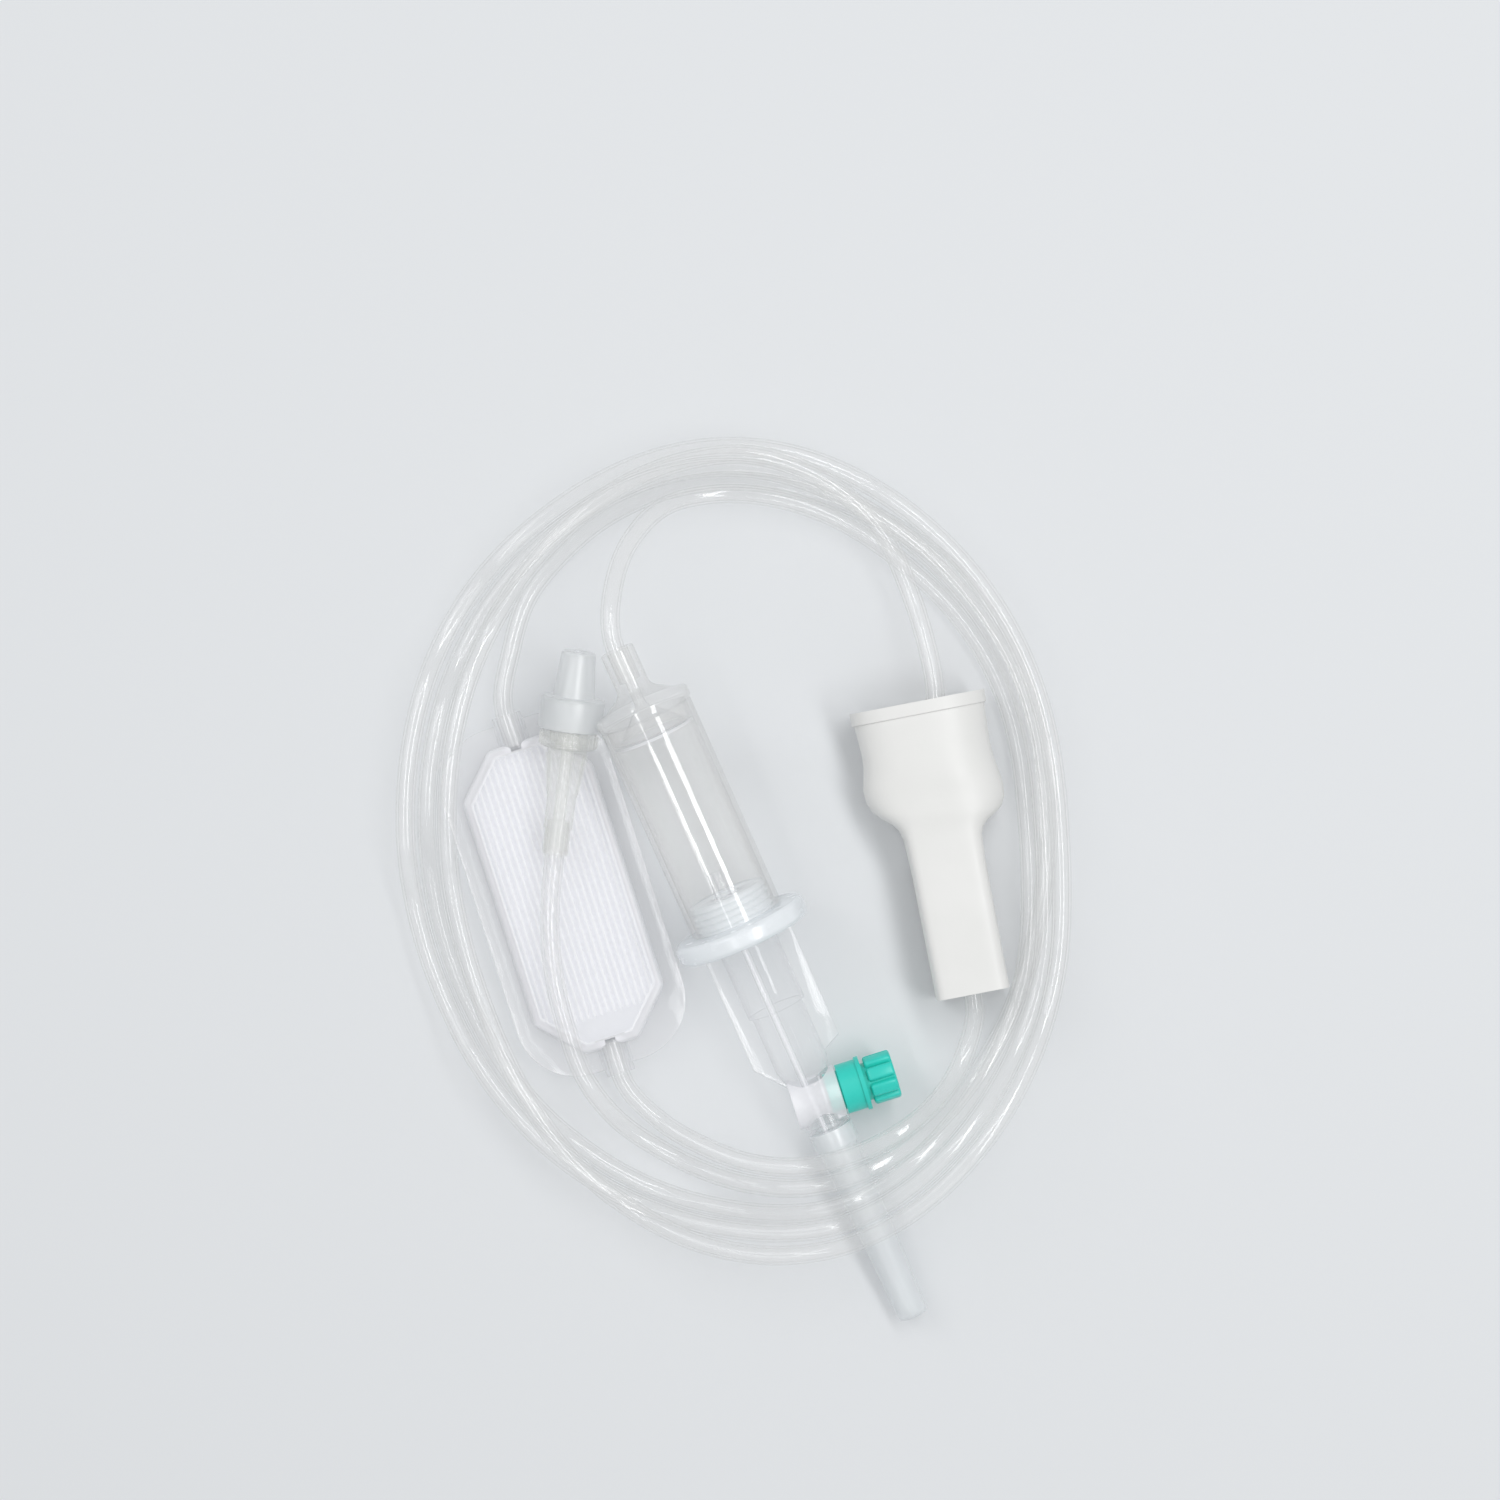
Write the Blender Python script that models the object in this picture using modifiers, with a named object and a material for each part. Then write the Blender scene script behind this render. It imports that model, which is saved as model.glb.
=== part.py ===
"""Infusion set with an inline filter, coiled up and lying as it comes to rest.

Metres, +Z up, the set lies on the plane z = 0. The plan's origin is the centre of the box round
the rigid pieces. Four assemblies hang on one clear tube: the vented spike with its drip chamber,
the roller clamp, the flat inline filter and the male luer lock end.
"""
import math

import bmesh
import bpy
import numpy as np
from mathutils import Matrix, Vector

# Fits
GAP = 0.0003
WELD = 0.00001

# Where the assemblies lie, in the layout's own plan, and the layout's origin in it
PLAN_ORIGIN = (-0.0015152, 0.0003907)
RING_PLACE = (0.00203, 0.01167)
DRIP_HEADING = math.radians(-66.0)
FILTER_PLACE = (-0.0353, 0.0189)
FILTER_HEADING = math.radians(-72.1)
CLAMP_PLACE = (0.0386, 0.0592)
CLAMP_HEADING = math.radians(-79.1)
LUER_PLACE = (-0.03176, 0.06964)
LUER_HEADING = math.radians(-97.0)
LUER_FALL = math.radians(6.8)
LUER_TIP_HEIGHT = 0.0150

# Tube
TUBE_RADIUS = 0.00205
TUBE_LIFT = 0.0047
TUBE_POINT_STEP = 0.0115
STRAIGHT_OUT = 0.0025
SOCKET_RADIUS = TUBE_RADIUS + GAP
SOCKET_DEPTH = 0.007

# Wide ring that closes the drip chamber
RING_RADIUS = 0.0144
RING_THICKNESS = 0.0043
RING_EDGE = 0.0008
SEAL_LENGTH = 0.0062
SEAL_RIBS = 4
SEAL_RIB_HEIGHT = 0.0005
HUB_SEAT_RADIUS = 0.0050
HUB_SEAT_DEPTH = 0.0018

# Drip chamber and its base
CHAMBER_RADIUS = 0.0100
CHAMBER_WALL = 0.0010
CHAMBER_LENGTH = 0.0468
NOZZLE_RADIUS = 0.0023
NOZZLE_BORE = 0.0011
NOZZLE_REACH = 0.0110
BASE_FLANGE_RADIUS = 0.0103
BASE_FLANGE_THICKNESS = 0.0022
BASE_PLUG_LENGTH = 0.0040
BASE_CONE_LENGTH = 0.0032
SLEEVE_RADIUS = 0.0036
SLEEVE_LENGTH = 0.0092
FLOW_BORE = 0.0012
FLUID_FILTER_THICKNESS = 0.0006

# Spike housing
HOUSING_RADIUS = 0.0064
HOUSING_LENGTH = 0.0155
BODY_RADIUS = 0.0057
BODY_LENGTH = 0.0130
NECK_RADIUS = 0.0045
NECK_LENGTH = 0.01325
BODY_TAPER = 0.0040
WING_HALF_SPAN = 0.0097
WING_THICKNESS = 0.0016
WING_LENGTH = 0.0253
WING_TAPER = 0.0065
WING_VENT_TAPER = 0.0025
SPIKE_FLANGE_RADIUS = 0.0047
SPIKE_FLANGE_THICKNESS = 0.0012
SPIKE_BASE_RADIUS = 0.0026
SPIKE_SHOULDER_RADIUS = 0.0022
SPIKE_TIP_RADIUS = 0.0015
SPIKE_LENGTH = 0.0385
SPIKE_POINT = 0.0080
SPIKE_CUT = math.radians(28.0)
CHANNEL_RADIUS = 0.0008
CHANNEL_OFFSET = 0.0011

# Protective sheath on the spike
SHEATH_LENGTH = 0.0438
SHEATH_BASE_RADIUS = 0.0047
SHEATH_BASE_LENGTH = 0.0040
SHEATH_RADIUS = 0.0042
SHEATH_TIP_RADIUS = 0.0032
SHEATH_WALL = 0.0006

# Air vent on the housing's side
VENT_SETBACK = 0.0055
VENT_LEAN = math.radians(6.7)
VENT_RADIUS = 0.0055
VENT_REACH = 0.0052
VENT_BORE = 0.0045
VENT_DEPTH = 0.0040
VENT_FILTER_THICKNESS = 0.0004
PLUG_LENGTH = 0.0030
BARREL_RADIUS = 0.0053
BARREL_LENGTH = 0.0042
RIM_RADIUS = 0.00575
RIM_THICKNESS = 0.0009
KNOB_RADIUS = 0.0051
KNOB_ROOT_RADIUS = 0.0042
KNOB_LENGTH = 0.0058
KNOB_LOBES = 8
KNOB_NECK_RADIUS = 0.0040
KNOB_NECK_LENGTH = 0.0008
KNOB_DISH_RADIUS = 0.0026
KNOB_DISH_DEPTH = 0.0014

# Inline filter
FLANGE_LENGTH = 0.0756
FLANGE_WIDTH = 0.0365
FLANGE_CORNER = 0.0130
FLANGE_THICKNESS = 0.0012
WINDOW_LENGTH = 0.0666
WINDOW_WIDTH = 0.0285
WINDOW_CHAMFER_LENGTH = 0.0088
WINDOW_CHAMFER_WIDTH = 0.0084
COVER_WALL = 0.0010
REAR_DEPTH = 0.0020
FRONT_HEIGHT = 0.0029
MEMBRANE_THICKNESS = 0.0003
MEMBRANE_MARGIN = 0.0006
RIB_COUNT = 17
RIB_PITCH = 0.00142
RIB_WIDTH = 0.0005
FRONT_RIB_INSET = 0.0068
REAR_RIB_COUNT = 8
REAR_RIB_HEIGHT = 0.0022
PORT_RADIUS = 0.0031
PORT_PROUD = 0.0016
PORT_REACH_IN = 0.0003
AIR_VENT_RADIUS = 0.0013
AIR_VENT_DISC_RADIUS = 0.0019
AIR_VENT_DISC_THICKNESS = 0.0004
AIR_VENT_INSET = 0.0048
AIR_VENT_PLACE = WINDOW_LENGTH / 2 - AIR_VENT_INSET
AIR_VENT_SPREAD = 0.0045

# Roller clamp
CLAMP_LENGTH = 0.0620
CUP_HALF_WIDTH = 0.0143
CUP_HEIGHT = 0.0184
CUP_WALL = 0.0013
CUP_DEPTH = 0.0255
RIM_BAND_LENGTH = 0.0026
RIM_BAND_STEP = 0.0005
TAIL_HALF_WIDTH = 0.0077
TAIL_HEIGHT = 0.0170
TAIL_WALL = 0.0016
TAIL_START = 0.0320
CHANNEL_START = 0.0270
CEILING_OPEN = 0.0156
CEILING_CLOSED = 0.0118
ROLLER_RADIUS = 0.0051
ROLLER_WIDTH = 0.0108
ROLLER_OPEN_PLACE = 0.0375
ROLLER_TRAVEL = 0.0190
ROLLER_TEETH = 20
ROLLER_TOOTH = 0.0004
ROLLER_GROUND = 0.0004
AXLE_RADIUS = 0.0013
AXLE_CLEARANCE = 0.0003
AXLE_SPAN = 0.0146
SCALLOP_HEIGHT = 0.0022

# Male luer lock end, lengths run from the cap's tip
LUER_CAP_TIP_RADIUS = 0.0036
LUER_CAP_CONE_LENGTH = 0.0097
LUER_CAP_CONE_RADIUS = 0.0044
LUER_CAP_SKIRT_RADIUS = 0.0067
LUER_CAP_SKIRT_LENGTH = 0.0068
LUER_CAP_SHOULDER = 0.0004
LUER_CAP_WALL = 0.0007
LUER_CAP_FLOOR = 0.0009
LUER_CAP_HUB_SETBACK = 0.0008
LUER_CAP_HOLE = 0.0012
LUER_DISC_THICKNESS = 0.0005
COLLAR_RADIUS = 0.0059
COLLAR_LENGTH = 0.0035
COLLAR_BORE = 0.0040
COLLAR_FLOOR = 0.0010
COLLAR_GRIPS = 12
COLLAR_GRIP_HEIGHT = 0.0003
MALE_TIP_RADIUS = 0.00197
MALE_BASE_RADIUS = 0.00220
MALE_LENGTH = 0.0075
MALE_REACH = 0.0062
ADAPTER_NECK_RADIUS = 0.0026
ADAPTER_GRIP_RADIUS = 0.0042
ADAPTER_GRIP_REAR_RADIUS = 0.0032
ADAPTER_GRIP_LENGTH = 0.0098
ADAPTER_GRIP_RIBS = 10
ADAPTER_RIB_HEIGHT = 0.0002
ADAPTER_STEP_RADIUS = 0.0030
ADAPTER_STEP_LENGTH = 0.0069
ADAPTER_END_RADIUS = 0.00270
ADAPTER_END_LENGTH = 0.0055

# Coil, an ellipse that each run follows at its own share of the radius
COIL_CENTRE = (-0.0004, 0.0281)
COIL_HALF_WIDTH = 0.0676
COIL_HALF_HEIGHT = 0.0844


for old in list(bpy.data.objects):
    bpy.data.objects.remove(old, do_unlink=True)

parts = bpy.data.collections.new("infusion_set")
cutters = bpy.data.collections.new("cutters")
bpy.context.scene.collection.children.link(parts)
bpy.context.scene.collection.children.link(cutters)
cutters.hide_render = True


def plastic(name, colour, roughness, alpha=1.0):
    """A Principled material for one kind of plastic."""
    mat = bpy.data.materials.new(name)
    mat.use_nodes = True
    shader = mat.node_tree.nodes["Principled BSDF"]
    shader.inputs["Base Color"].default_value = (*colour, 1.0)
    shader.inputs["Roughness"].default_value = roughness
    shader.inputs["Metallic"].default_value = 0.0
    shader.inputs["Alpha"].default_value = alpha
    return mat


CLEAR_HARD = plastic("clear_hard_plastic", (0.93, 0.95, 0.96), 0.12, 0.35)
CLEAR_SOFT = plastic("clear_soft_plastic", (0.93, 0.94, 0.93), 0.2, 0.4)
MILKY = plastic("milky_plastic", (0.88, 0.91, 0.94), 0.35, 0.8)
GREEN = plastic("green_plastic", (0.02, 0.52, 0.40), 0.35)
OFF_WHITE = plastic("off_white_plastic", (0.88, 0.88, 0.84), 0.4)
MEMBRANE = plastic("membrane", (0.94, 0.94, 0.95), 0.8)


def add_object(name, mesh, mat=None, parent=None):
    """Links a mesh as a part with its material, or as a cutter where it has none."""
    obj = bpy.data.objects.new(name, mesh)
    if mat is None:
        cutters.objects.link(obj)
        obj.hide_render = True
        obj.display_type = "WIRE"
    else:
        parts.objects.link(obj)
        mesh.materials.append(mat)
    obj.parent = parent
    return obj


def frame_empty(name, origin, axis_z, axis_x, parent=None):
    """An empty whose local Z and X point along the given directions."""
    z = Vector(axis_z).normalized()
    x = Vector(axis_x).normalized()
    y = z.cross(x)
    turn = Matrix((x, y, z)).transposed().to_4x4()
    empty = bpy.data.objects.new(name, None)
    parts.objects.link(empty)
    empty.matrix_world = Matrix.Translation(Vector(origin)) @ turn
    empty.parent = parent
    return empty


def turned(name, profile, mat=None, parent=None, steps=28, ring=True):
    """A turned piece about local Z: its profile (radius, height) runs down the outer side."""
    mesh = bpy.data.meshes.new(name)
    points = [(radius, 0.0, height) for radius, height in profile]
    edges = [(i, i + 1) for i in range(len(points) - 1)]
    if ring:
        edges.append((len(points) - 1, 0))
    mesh.from_pydata(points, edges, [])
    obj = add_object(name, mesh, mat, parent)
    screw = obj.modifiers.new("Turn", "SCREW")
    screw.axis = "Z"
    screw.steps = steps
    screw.render_steps = steps
    screw.use_merge_vertices = True
    screw.merge_threshold = WELD
    return obj


def rod(name, radius, low, high, mat=None, parent=None, sides=16, top_radius=None):
    """A round bar along local Z from low to high."""
    mesh = bpy.data.meshes.new(name)
    bm = bmesh.new()
    bmesh.ops.create_cone(
        bm,
        cap_ends=True,
        segments=sides,
        radius1=radius,
        radius2=radius if top_radius is None else top_radius,
        depth=high - low,
        matrix=Matrix.Translation((0.0, 0.0, (low + high) / 2)),
    )
    bm.to_mesh(mesh)
    bm.free()
    return add_object(name, mesh, mat, parent)


def add_block(bm, low, high):
    """Adds a box between two corners to a bmesh."""
    low = Vector(low)
    high = Vector(high)
    place = Matrix.Translation((low + high) / 2)
    size = Matrix.Diagonal((*(high - low), 1.0))
    bmesh.ops.create_cube(bm, size=1.0, matrix=place @ size)


def blocks(name, corners, mat=None, parent=None):
    """One object of separate boxes, each given by its low and high corner."""
    mesh = bpy.data.meshes.new(name)
    bm = bmesh.new()
    for low, high in corners:
        add_block(bm, low, high)
    bm.to_mesh(mesh)
    bm.free()
    return add_object(name, mesh, mat, parent)


def slab(name, outline, low, high, mat=None, parent=None):
    """A flat outline in local XY, filled and extruded from low to high."""
    curve = bpy.data.curves.new(name + "_outline", "CURVE")
    curve.dimensions = "2D"
    curve.fill_mode = "BOTH"
    curve.extrude = (high - low) / 2
    spline = curve.splines.new("POLY")
    spline.points.add(len(outline) - 1)
    for point, (x, y) in zip(spline.points, outline):
        point.co = (x, y, 0.0, 1.0)
    spline.use_cyclic_u = True
    holder = bpy.data.objects.new(name + "_outline", curve)
    cutters.objects.link(holder)
    mesh = mesh_of(holder)
    mesh.transform(Matrix.Translation((0.0, 0.0, (low + high) / 2)))
    obj = add_object(name, mesh, mat, parent)
    bpy.data.objects.remove(holder, do_unlink=True)
    return obj


def mesh_of(holder):
    """A welded mesh copy of a curve object."""
    graph = bpy.context.evaluated_depsgraph_get()
    graph.update()
    mesh = bpy.data.meshes.new_from_object(holder.evaluated_get(graph))
    bm = bmesh.new()
    bm.from_mesh(mesh)
    bmesh.ops.remove_doubles(bm, verts=bm.verts, dist=WELD)
    bmesh.ops.recalc_face_normals(bm, faces=bm.faces)
    bm.to_mesh(mesh)
    bm.free()
    return mesh


def combine(obj, other, operation):
    """A live Boolean of one object with a cutter."""
    change = obj.modifiers.new(other.name, "BOOLEAN")
    change.operation = operation
    change.object = other
    change.solver = "EXACT"


def join(obj, *others):
    for other in others:
        combine(obj, other, "UNION")


def cut(obj, *others):
    for other in others:
        combine(obj, other, "DIFFERENCE")


def lay_along(obj, direction, origin=(0.0, 0.0, 0.0)):
    """Turns an object so that its local Z points along direction, in its parent's frame."""
    obj.rotation_mode = "QUATERNION"
    obj.rotation_quaternion = Vector((0.0, 0.0, 1.0)).rotation_difference(Vector(direction))
    obj.location = origin
    return obj


def layout(place):
    """A plan place of the layout, measured from the part's origin."""
    return place[0] - PLAN_ORIGIN[0], place[1] - PLAN_ORIGIN[1]


def heading(angle, rise=0.0):
    """The unit vector at a plan angle and a rise above the horizontal."""
    return Vector((math.cos(angle) * math.cos(rise), math.sin(angle) * math.cos(rise), math.sin(rise)))


# Spike, drip chamber and vent: local Z runs down the assembly's axis to the spike's tip
HOUSING_START = RING_THICKNESS / 2 + GAP
NECK_START = HOUSING_START + HOUSING_LENGTH + BODY_LENGTH
SPIKE_START = NECK_START + NECK_LENGTH
VENT_PLACE = SPIKE_START - VENT_SETBACK
SHEATH_START = SPIKE_START + SPIKE_FLANGE_THICKNESS + GAP
SHEATH_END = SHEATH_START + SHEATH_LENGTH
DRIP_FALL = math.asin((RING_RADIUS - SHEATH_TIP_RADIUS) / math.hypot(RING_THICKNESS / 2, SHEATH_END))
RING_HEIGHT = RING_RADIUS * math.cos(DRIP_FALL) + RING_THICKNESS / 2 * math.sin(DRIP_FALL)
drip_axis = heading(DRIP_HEADING, -DRIP_FALL)
drip = frame_empty(
    "drip_frame",
    (*layout(RING_PLACE), RING_HEIGHT),
    drip_axis,
    heading(DRIP_HEADING + math.pi / 2),
)


def make_chamber_cap():
    """Wide ring with a sealing spigot for the chamber and a seat for the housing."""
    half = RING_THICKNESS / 2
    spigot = CHAMBER_RADIUS - CHAMBER_WALL - GAP
    bore = NOZZLE_RADIUS + GAP
    pitch = SEAL_LENGTH / (SEAL_RIBS + 0.5)
    profile = [
        (HUB_SEAT_RADIUS, half),
        (RING_RADIUS - RING_EDGE, half),
        (RING_RADIUS, half - RING_EDGE),
        (RING_RADIUS, RING_EDGE - half),
        (RING_RADIUS - RING_EDGE, -half),
    ]
    for rib in range(SEAL_RIBS):
        top = -half - pitch * rib
        profile.append((spigot - SEAL_RIB_HEIGHT, top))
        profile.append((spigot - SEAL_RIB_HEIGHT, top - pitch * 0.5))
        profile.append((spigot, top - pitch * 0.75))
    profile.append((spigot - SEAL_RIB_HEIGHT, -half - SEAL_LENGTH))
    profile.append((bore, -half - SEAL_LENGTH))
    profile.append((bore, half - HUB_SEAT_DEPTH))
    profile.append((HUB_SEAT_RADIUS, half - HUB_SEAT_DEPTH))
    return turned("chamber_cap", profile, MILKY, drip, steps=40)


def make_drip_nozzle():
    """Drop former, a small tapered tube in the ring's bore."""
    top = RING_THICKNESS / 2 - HUB_SEAT_DEPTH
    low = -RING_THICKNESS / 2 - NOZZLE_REACH
    profile = [
        (NOZZLE_BORE, top),
        (NOZZLE_RADIUS, top),
        (NOZZLE_RADIUS, -RING_THICKNESS / 2 - SEAL_LENGTH),
        (NOZZLE_RADIUS * 0.8, low),
        (NOZZLE_BORE, low),
    ]
    return turned("drip_nozzle", profile, CLEAR_HARD, drip, steps=16)


def make_drip_chamber():
    """Clear flexible cylinder between the ring and the base."""
    inner = CHAMBER_RADIUS - CHAMBER_WALL
    top = -RING_THICKNESS / 2 - GAP
    low = top - CHAMBER_LENGTH
    profile = [(inner, top), (CHAMBER_RADIUS, top), (CHAMBER_RADIUS, low), (inner, low)]
    return turned("drip_chamber", profile, CLEAR_SOFT, drip, steps=32)


BASE_START = -RING_THICKNESS / 2 - CHAMBER_LENGTH - 2 * GAP
SLEEVE_END = BASE_START - BASE_FLANGE_THICKNESS - BASE_CONE_LENGTH - SLEEVE_LENGTH


def make_outlet_cap():
    """Chamber base: a plug with a funnel, a flange, and the tube's sleeve."""
    plug = CHAMBER_RADIUS - CHAMBER_WALL - GAP
    flange_end = BASE_START - BASE_FLANGE_THICKNESS
    cone_end = flange_end - BASE_CONE_LENGTH
    seat = SLEEVE_END + SOCKET_DEPTH
    profile = [
        (plug * 0.85, BASE_START + BASE_PLUG_LENGTH),
        (plug, BASE_START + BASE_PLUG_LENGTH),
        (plug, BASE_START),
        (BASE_FLANGE_RADIUS, BASE_START),
        (BASE_FLANGE_RADIUS, flange_end),
        (plug * 0.9, flange_end - BASE_CONE_LENGTH * 0.2),
        (SLEEVE_RADIUS + 0.0008, cone_end + BASE_CONE_LENGTH * 0.15),
        (SLEEVE_RADIUS, cone_end - BASE_CONE_LENGTH * 0.2),
        (SLEEVE_RADIUS, SLEEVE_END),
        (SOCKET_RADIUS, SLEEVE_END),
        (SOCKET_RADIUS, seat),
        (FLOW_BORE, seat),
        (FLOW_BORE, flange_end),
    ]
    return turned("outlet_cap", profile, CLEAR_SOFT, drip, steps=32)


def make_fluid_filter():
    """Fine mesh disc that lies over the base's funnel."""
    low = BASE_START + BASE_PLUG_LENGTH + GAP
    radius = CHAMBER_RADIUS - CHAMBER_WALL - GAP
    return rod("fluid_filter", radius, low, low + FLUID_FILTER_THICKNESS, MEMBRANE, drip, sides=32)


def make_spike_housing():
    """Clear moulding: seat, stepped body, finger wings, vent boss and two-channel spike."""
    start = HOUSING_START
    spigot_low = RING_THICKNESS / 2 - HUB_SEAT_DEPTH + GAP
    tip = SPIKE_START + SPIKE_FLANGE_THICKNESS + SPIKE_LENGTH
    flange_top = SPIKE_START + SPIKE_FLANGE_THICKNESS
    profile = [
        (0.0, tip),
        (SPIKE_TIP_RADIUS, tip),
        (SPIKE_SHOULDER_RADIUS, tip - SPIKE_POINT),
        (SPIKE_BASE_RADIUS, flange_top),
        (SPIKE_FLANGE_RADIUS, flange_top),
        (SPIKE_FLANGE_RADIUS, SPIKE_START),
        (NECK_RADIUS, SPIKE_START),
        (NECK_RADIUS, NECK_START + BODY_TAPER),
        (BODY_RADIUS, NECK_START),
        (BODY_RADIUS, start + HOUSING_LENGTH),
        (HOUSING_RADIUS, start + HOUSING_LENGTH),
        (HOUSING_RADIUS, start),
        (HUB_SEAT_RADIUS - GAP, start),
        (HUB_SEAT_RADIUS - GAP, spigot_low),
        (0.0, spigot_low),
    ]
    housing = turned("spike_housing", profile, CLEAR_HARD, drip, steps=28, ring=False)
    wing_low = start + 0.0005
    wing_high = wing_low + WING_LENGTH
    wing_tip = wing_high + WING_TAPER
    outline = [
        (-WING_HALF_SPAN, wing_low),
        (WING_HALF_SPAN, wing_low),
        (WING_HALF_SPAN, wing_high),
        (NECK_RADIUS, wing_high + WING_VENT_TAPER),
        (-NECK_RADIUS, wing_tip),
        (-WING_HALF_SPAN, wing_high),
    ]
    wings = slab("wings", outline, -WING_THICKNESS / 2, WING_THICKNESS / 2, parent=drip)
    wings.rotation_euler = (math.pi / 2, 0.0, 0.0)
    mirror_up = Matrix.Diagonal((1.0, 1.0, -1.0, 1.0))
    wings.data.transform(mirror_up)
    wings.data.flip_normals()
    boss = rod("vent_boss", VENT_RADIUS, -VENT_REACH, VENT_REACH, parent=vent, sides=28)
    bore = rod("vent_bore", VENT_BORE, VENT_REACH - VENT_DEPTH, VENT_REACH + 0.001, parent=vent, sides=28)
    air_turn = rod("air_turn", CHANNEL_RADIUS, 0.0008, VENT_REACH - VENT_DEPTH + 0.0005, parent=vent, sides=10)
    fluid = rod("fluid_channel", CHANNEL_RADIUS, spigot_low - 0.001, tip + 0.001, parent=drip, sides=10)
    fluid.location = (-CHANNEL_OFFSET, 0.0, 0.0)
    air = rod("air_channel", CHANNEL_RADIUS, VENT_PLACE, tip + 0.001, parent=drip, sides=10)
    air.location = (CHANNEL_OFFSET, 0.0, 0.0)
    bevel = blocks("point_cut", [((-0.02, -0.02, 0.0), (0.02, 0.02, 0.02))], parent=drip)
    bevel.location = (0.0, 0.0, tip - SPIKE_POINT * 0.45)
    bevel.rotation_euler = (0.0, math.pi / 2 - SPIKE_CUT, 0.0)
    join(housing, wings, boss)
    cut(housing, bore, air_turn, fluid, air, bevel)
    return housing


vent = frame_empty("vent_frame", (0.0, 0.0, VENT_PLACE), heading(0.0), (0.0, 1.0, 0.0), drip)
vent.rotation_mode = "QUATERNION"
vent_direction = Vector((math.cos(VENT_LEAN), 0.0, math.sin(VENT_LEAN)))
lay_along(vent, vent_direction, (0.0, 0.0, VENT_PLACE))
vent.matrix_parent_inverse = Matrix.Identity(4)


def make_spike_cap():
    """Thin sheath over the spike, closed at its tip."""
    low = SHEATH_START
    base_top = low + SHEATH_BASE_LENGTH
    profile = [
        (0.0, SHEATH_END),
        (SHEATH_TIP_RADIUS - SHEATH_WALL, SHEATH_END),
        (SHEATH_TIP_RADIUS, SHEATH_END - SHEATH_WALL),
        (SHEATH_RADIUS, base_top + SHEATH_WALL),
        (SHEATH_BASE_RADIUS, base_top),
        (SHEATH_BASE_RADIUS, low),
        (SHEATH_RADIUS - SHEATH_WALL, low),
        (SHEATH_RADIUS - SHEATH_WALL, base_top + SHEATH_WALL),
        (SHEATH_TIP_RADIUS - SHEATH_WALL, SHEATH_END - 2 * SHEATH_WALL),
        (0.0, SHEATH_END - 2 * SHEATH_WALL),
    ]
    return turned("spike_cap", profile, MILKY, drip, steps=24, ring=False)


def make_vent_filter():
    """Air filter disc on the floor of the vent's bore."""
    low = VENT_REACH - VENT_DEPTH + GAP
    return rod("vent_filter", VENT_BORE - GAP, low, low + VENT_FILTER_THICKNESS, MEMBRANE, vent, sides=24)


def lobed_outline(root, outer, lobes):
    """A castellated ring outline: each lobe has a flat crest and a rounded root."""
    points = []
    for lobe in range(lobes):
        for share, radius in ((0.0, root), (0.2, root), (0.34, outer), (0.6, outer * 1.012), (0.86, outer)):
            angle = 2 * math.pi * (lobe + share) / lobes
            points.append((radius * math.cos(angle), radius * math.sin(angle)))
    return points


def make_vent_cap():
    """Green plug for the air vent, with a fluted knob."""
    seat = VENT_REACH + GAP
    rim_low = seat + BARREL_LENGTH
    rim_high = rim_low + RIM_THICKNESS
    knob_low = rim_high + KNOB_NECK_LENGTH
    knob_high = knob_low + KNOB_LENGTH
    profile = [
        (0.0, knob_high - KNOB_DISH_DEPTH),
        (KNOB_DISH_RADIUS, knob_high - KNOB_DISH_DEPTH),
        (KNOB_DISH_RADIUS, knob_high),
        (KNOB_NECK_RADIUS, knob_high),
        (KNOB_NECK_RADIUS, rim_high),
        (RIM_RADIUS, rim_high),
        (RIM_RADIUS, rim_low),
        (BARREL_RADIUS, rim_low),
        (BARREL_RADIUS, seat),
        (VENT_BORE - GAP, seat),
        (VENT_BORE - GAP, seat - PLUG_LENGTH),
        (0.0, seat - PLUG_LENGTH),
    ]
    cap = turned("vent_cap", profile, GREEN, vent, steps=24, ring=False)
    outline = lobed_outline(KNOB_ROOT_RADIUS, KNOB_RADIUS, KNOB_LOBES)
    knob = slab("knob", outline, knob_low, knob_high - GAP, parent=vent)
    dish = rod("knob_dish", KNOB_DISH_RADIUS, knob_high - KNOB_DISH_DEPTH, knob_high + 0.001, parent=vent, sides=24)
    join(cap, knob)
    cut(cap, dish)
    return cap


# Inline filter: local X runs along it, Z is up, the rear cover's back lies at z = 0
flat_filter = frame_empty(
    "filter_frame",
    (*layout(FILTER_PLACE), 0.0),
    (0.0, 0.0, 1.0),
    heading(FILTER_HEADING),
)
REAR_TOP = REAR_DEPTH + FLANGE_THICKNESS
FRONT_START = REAR_TOP + GAP
FRONT_TOP = FRONT_START + FRONT_HEIGHT
PORT_HEIGHT = REAR_TOP
PORT_END = FLANGE_LENGTH / 2 + PORT_PROUD
MEMBRANE_HEIGHT = COVER_WALL + REAR_RIB_HEIGHT + GAP


def window(inset):
    """The filter window's long octagon, set in by inset."""
    x = WINDOW_LENGTH / 2 - inset
    y = WINDOW_WIDTH / 2 - inset
    dx = WINDOW_CHAMFER_LENGTH - inset * 0.4
    dy = WINDOW_CHAMFER_WIDTH - inset * 0.4
    quarter = [(x, y - dy), (x - dx, y)]
    outline = quarter + [(-px, py) for px, py in reversed(quarter)]
    return outline + [(-px, -py) for px, py in outline]


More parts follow.
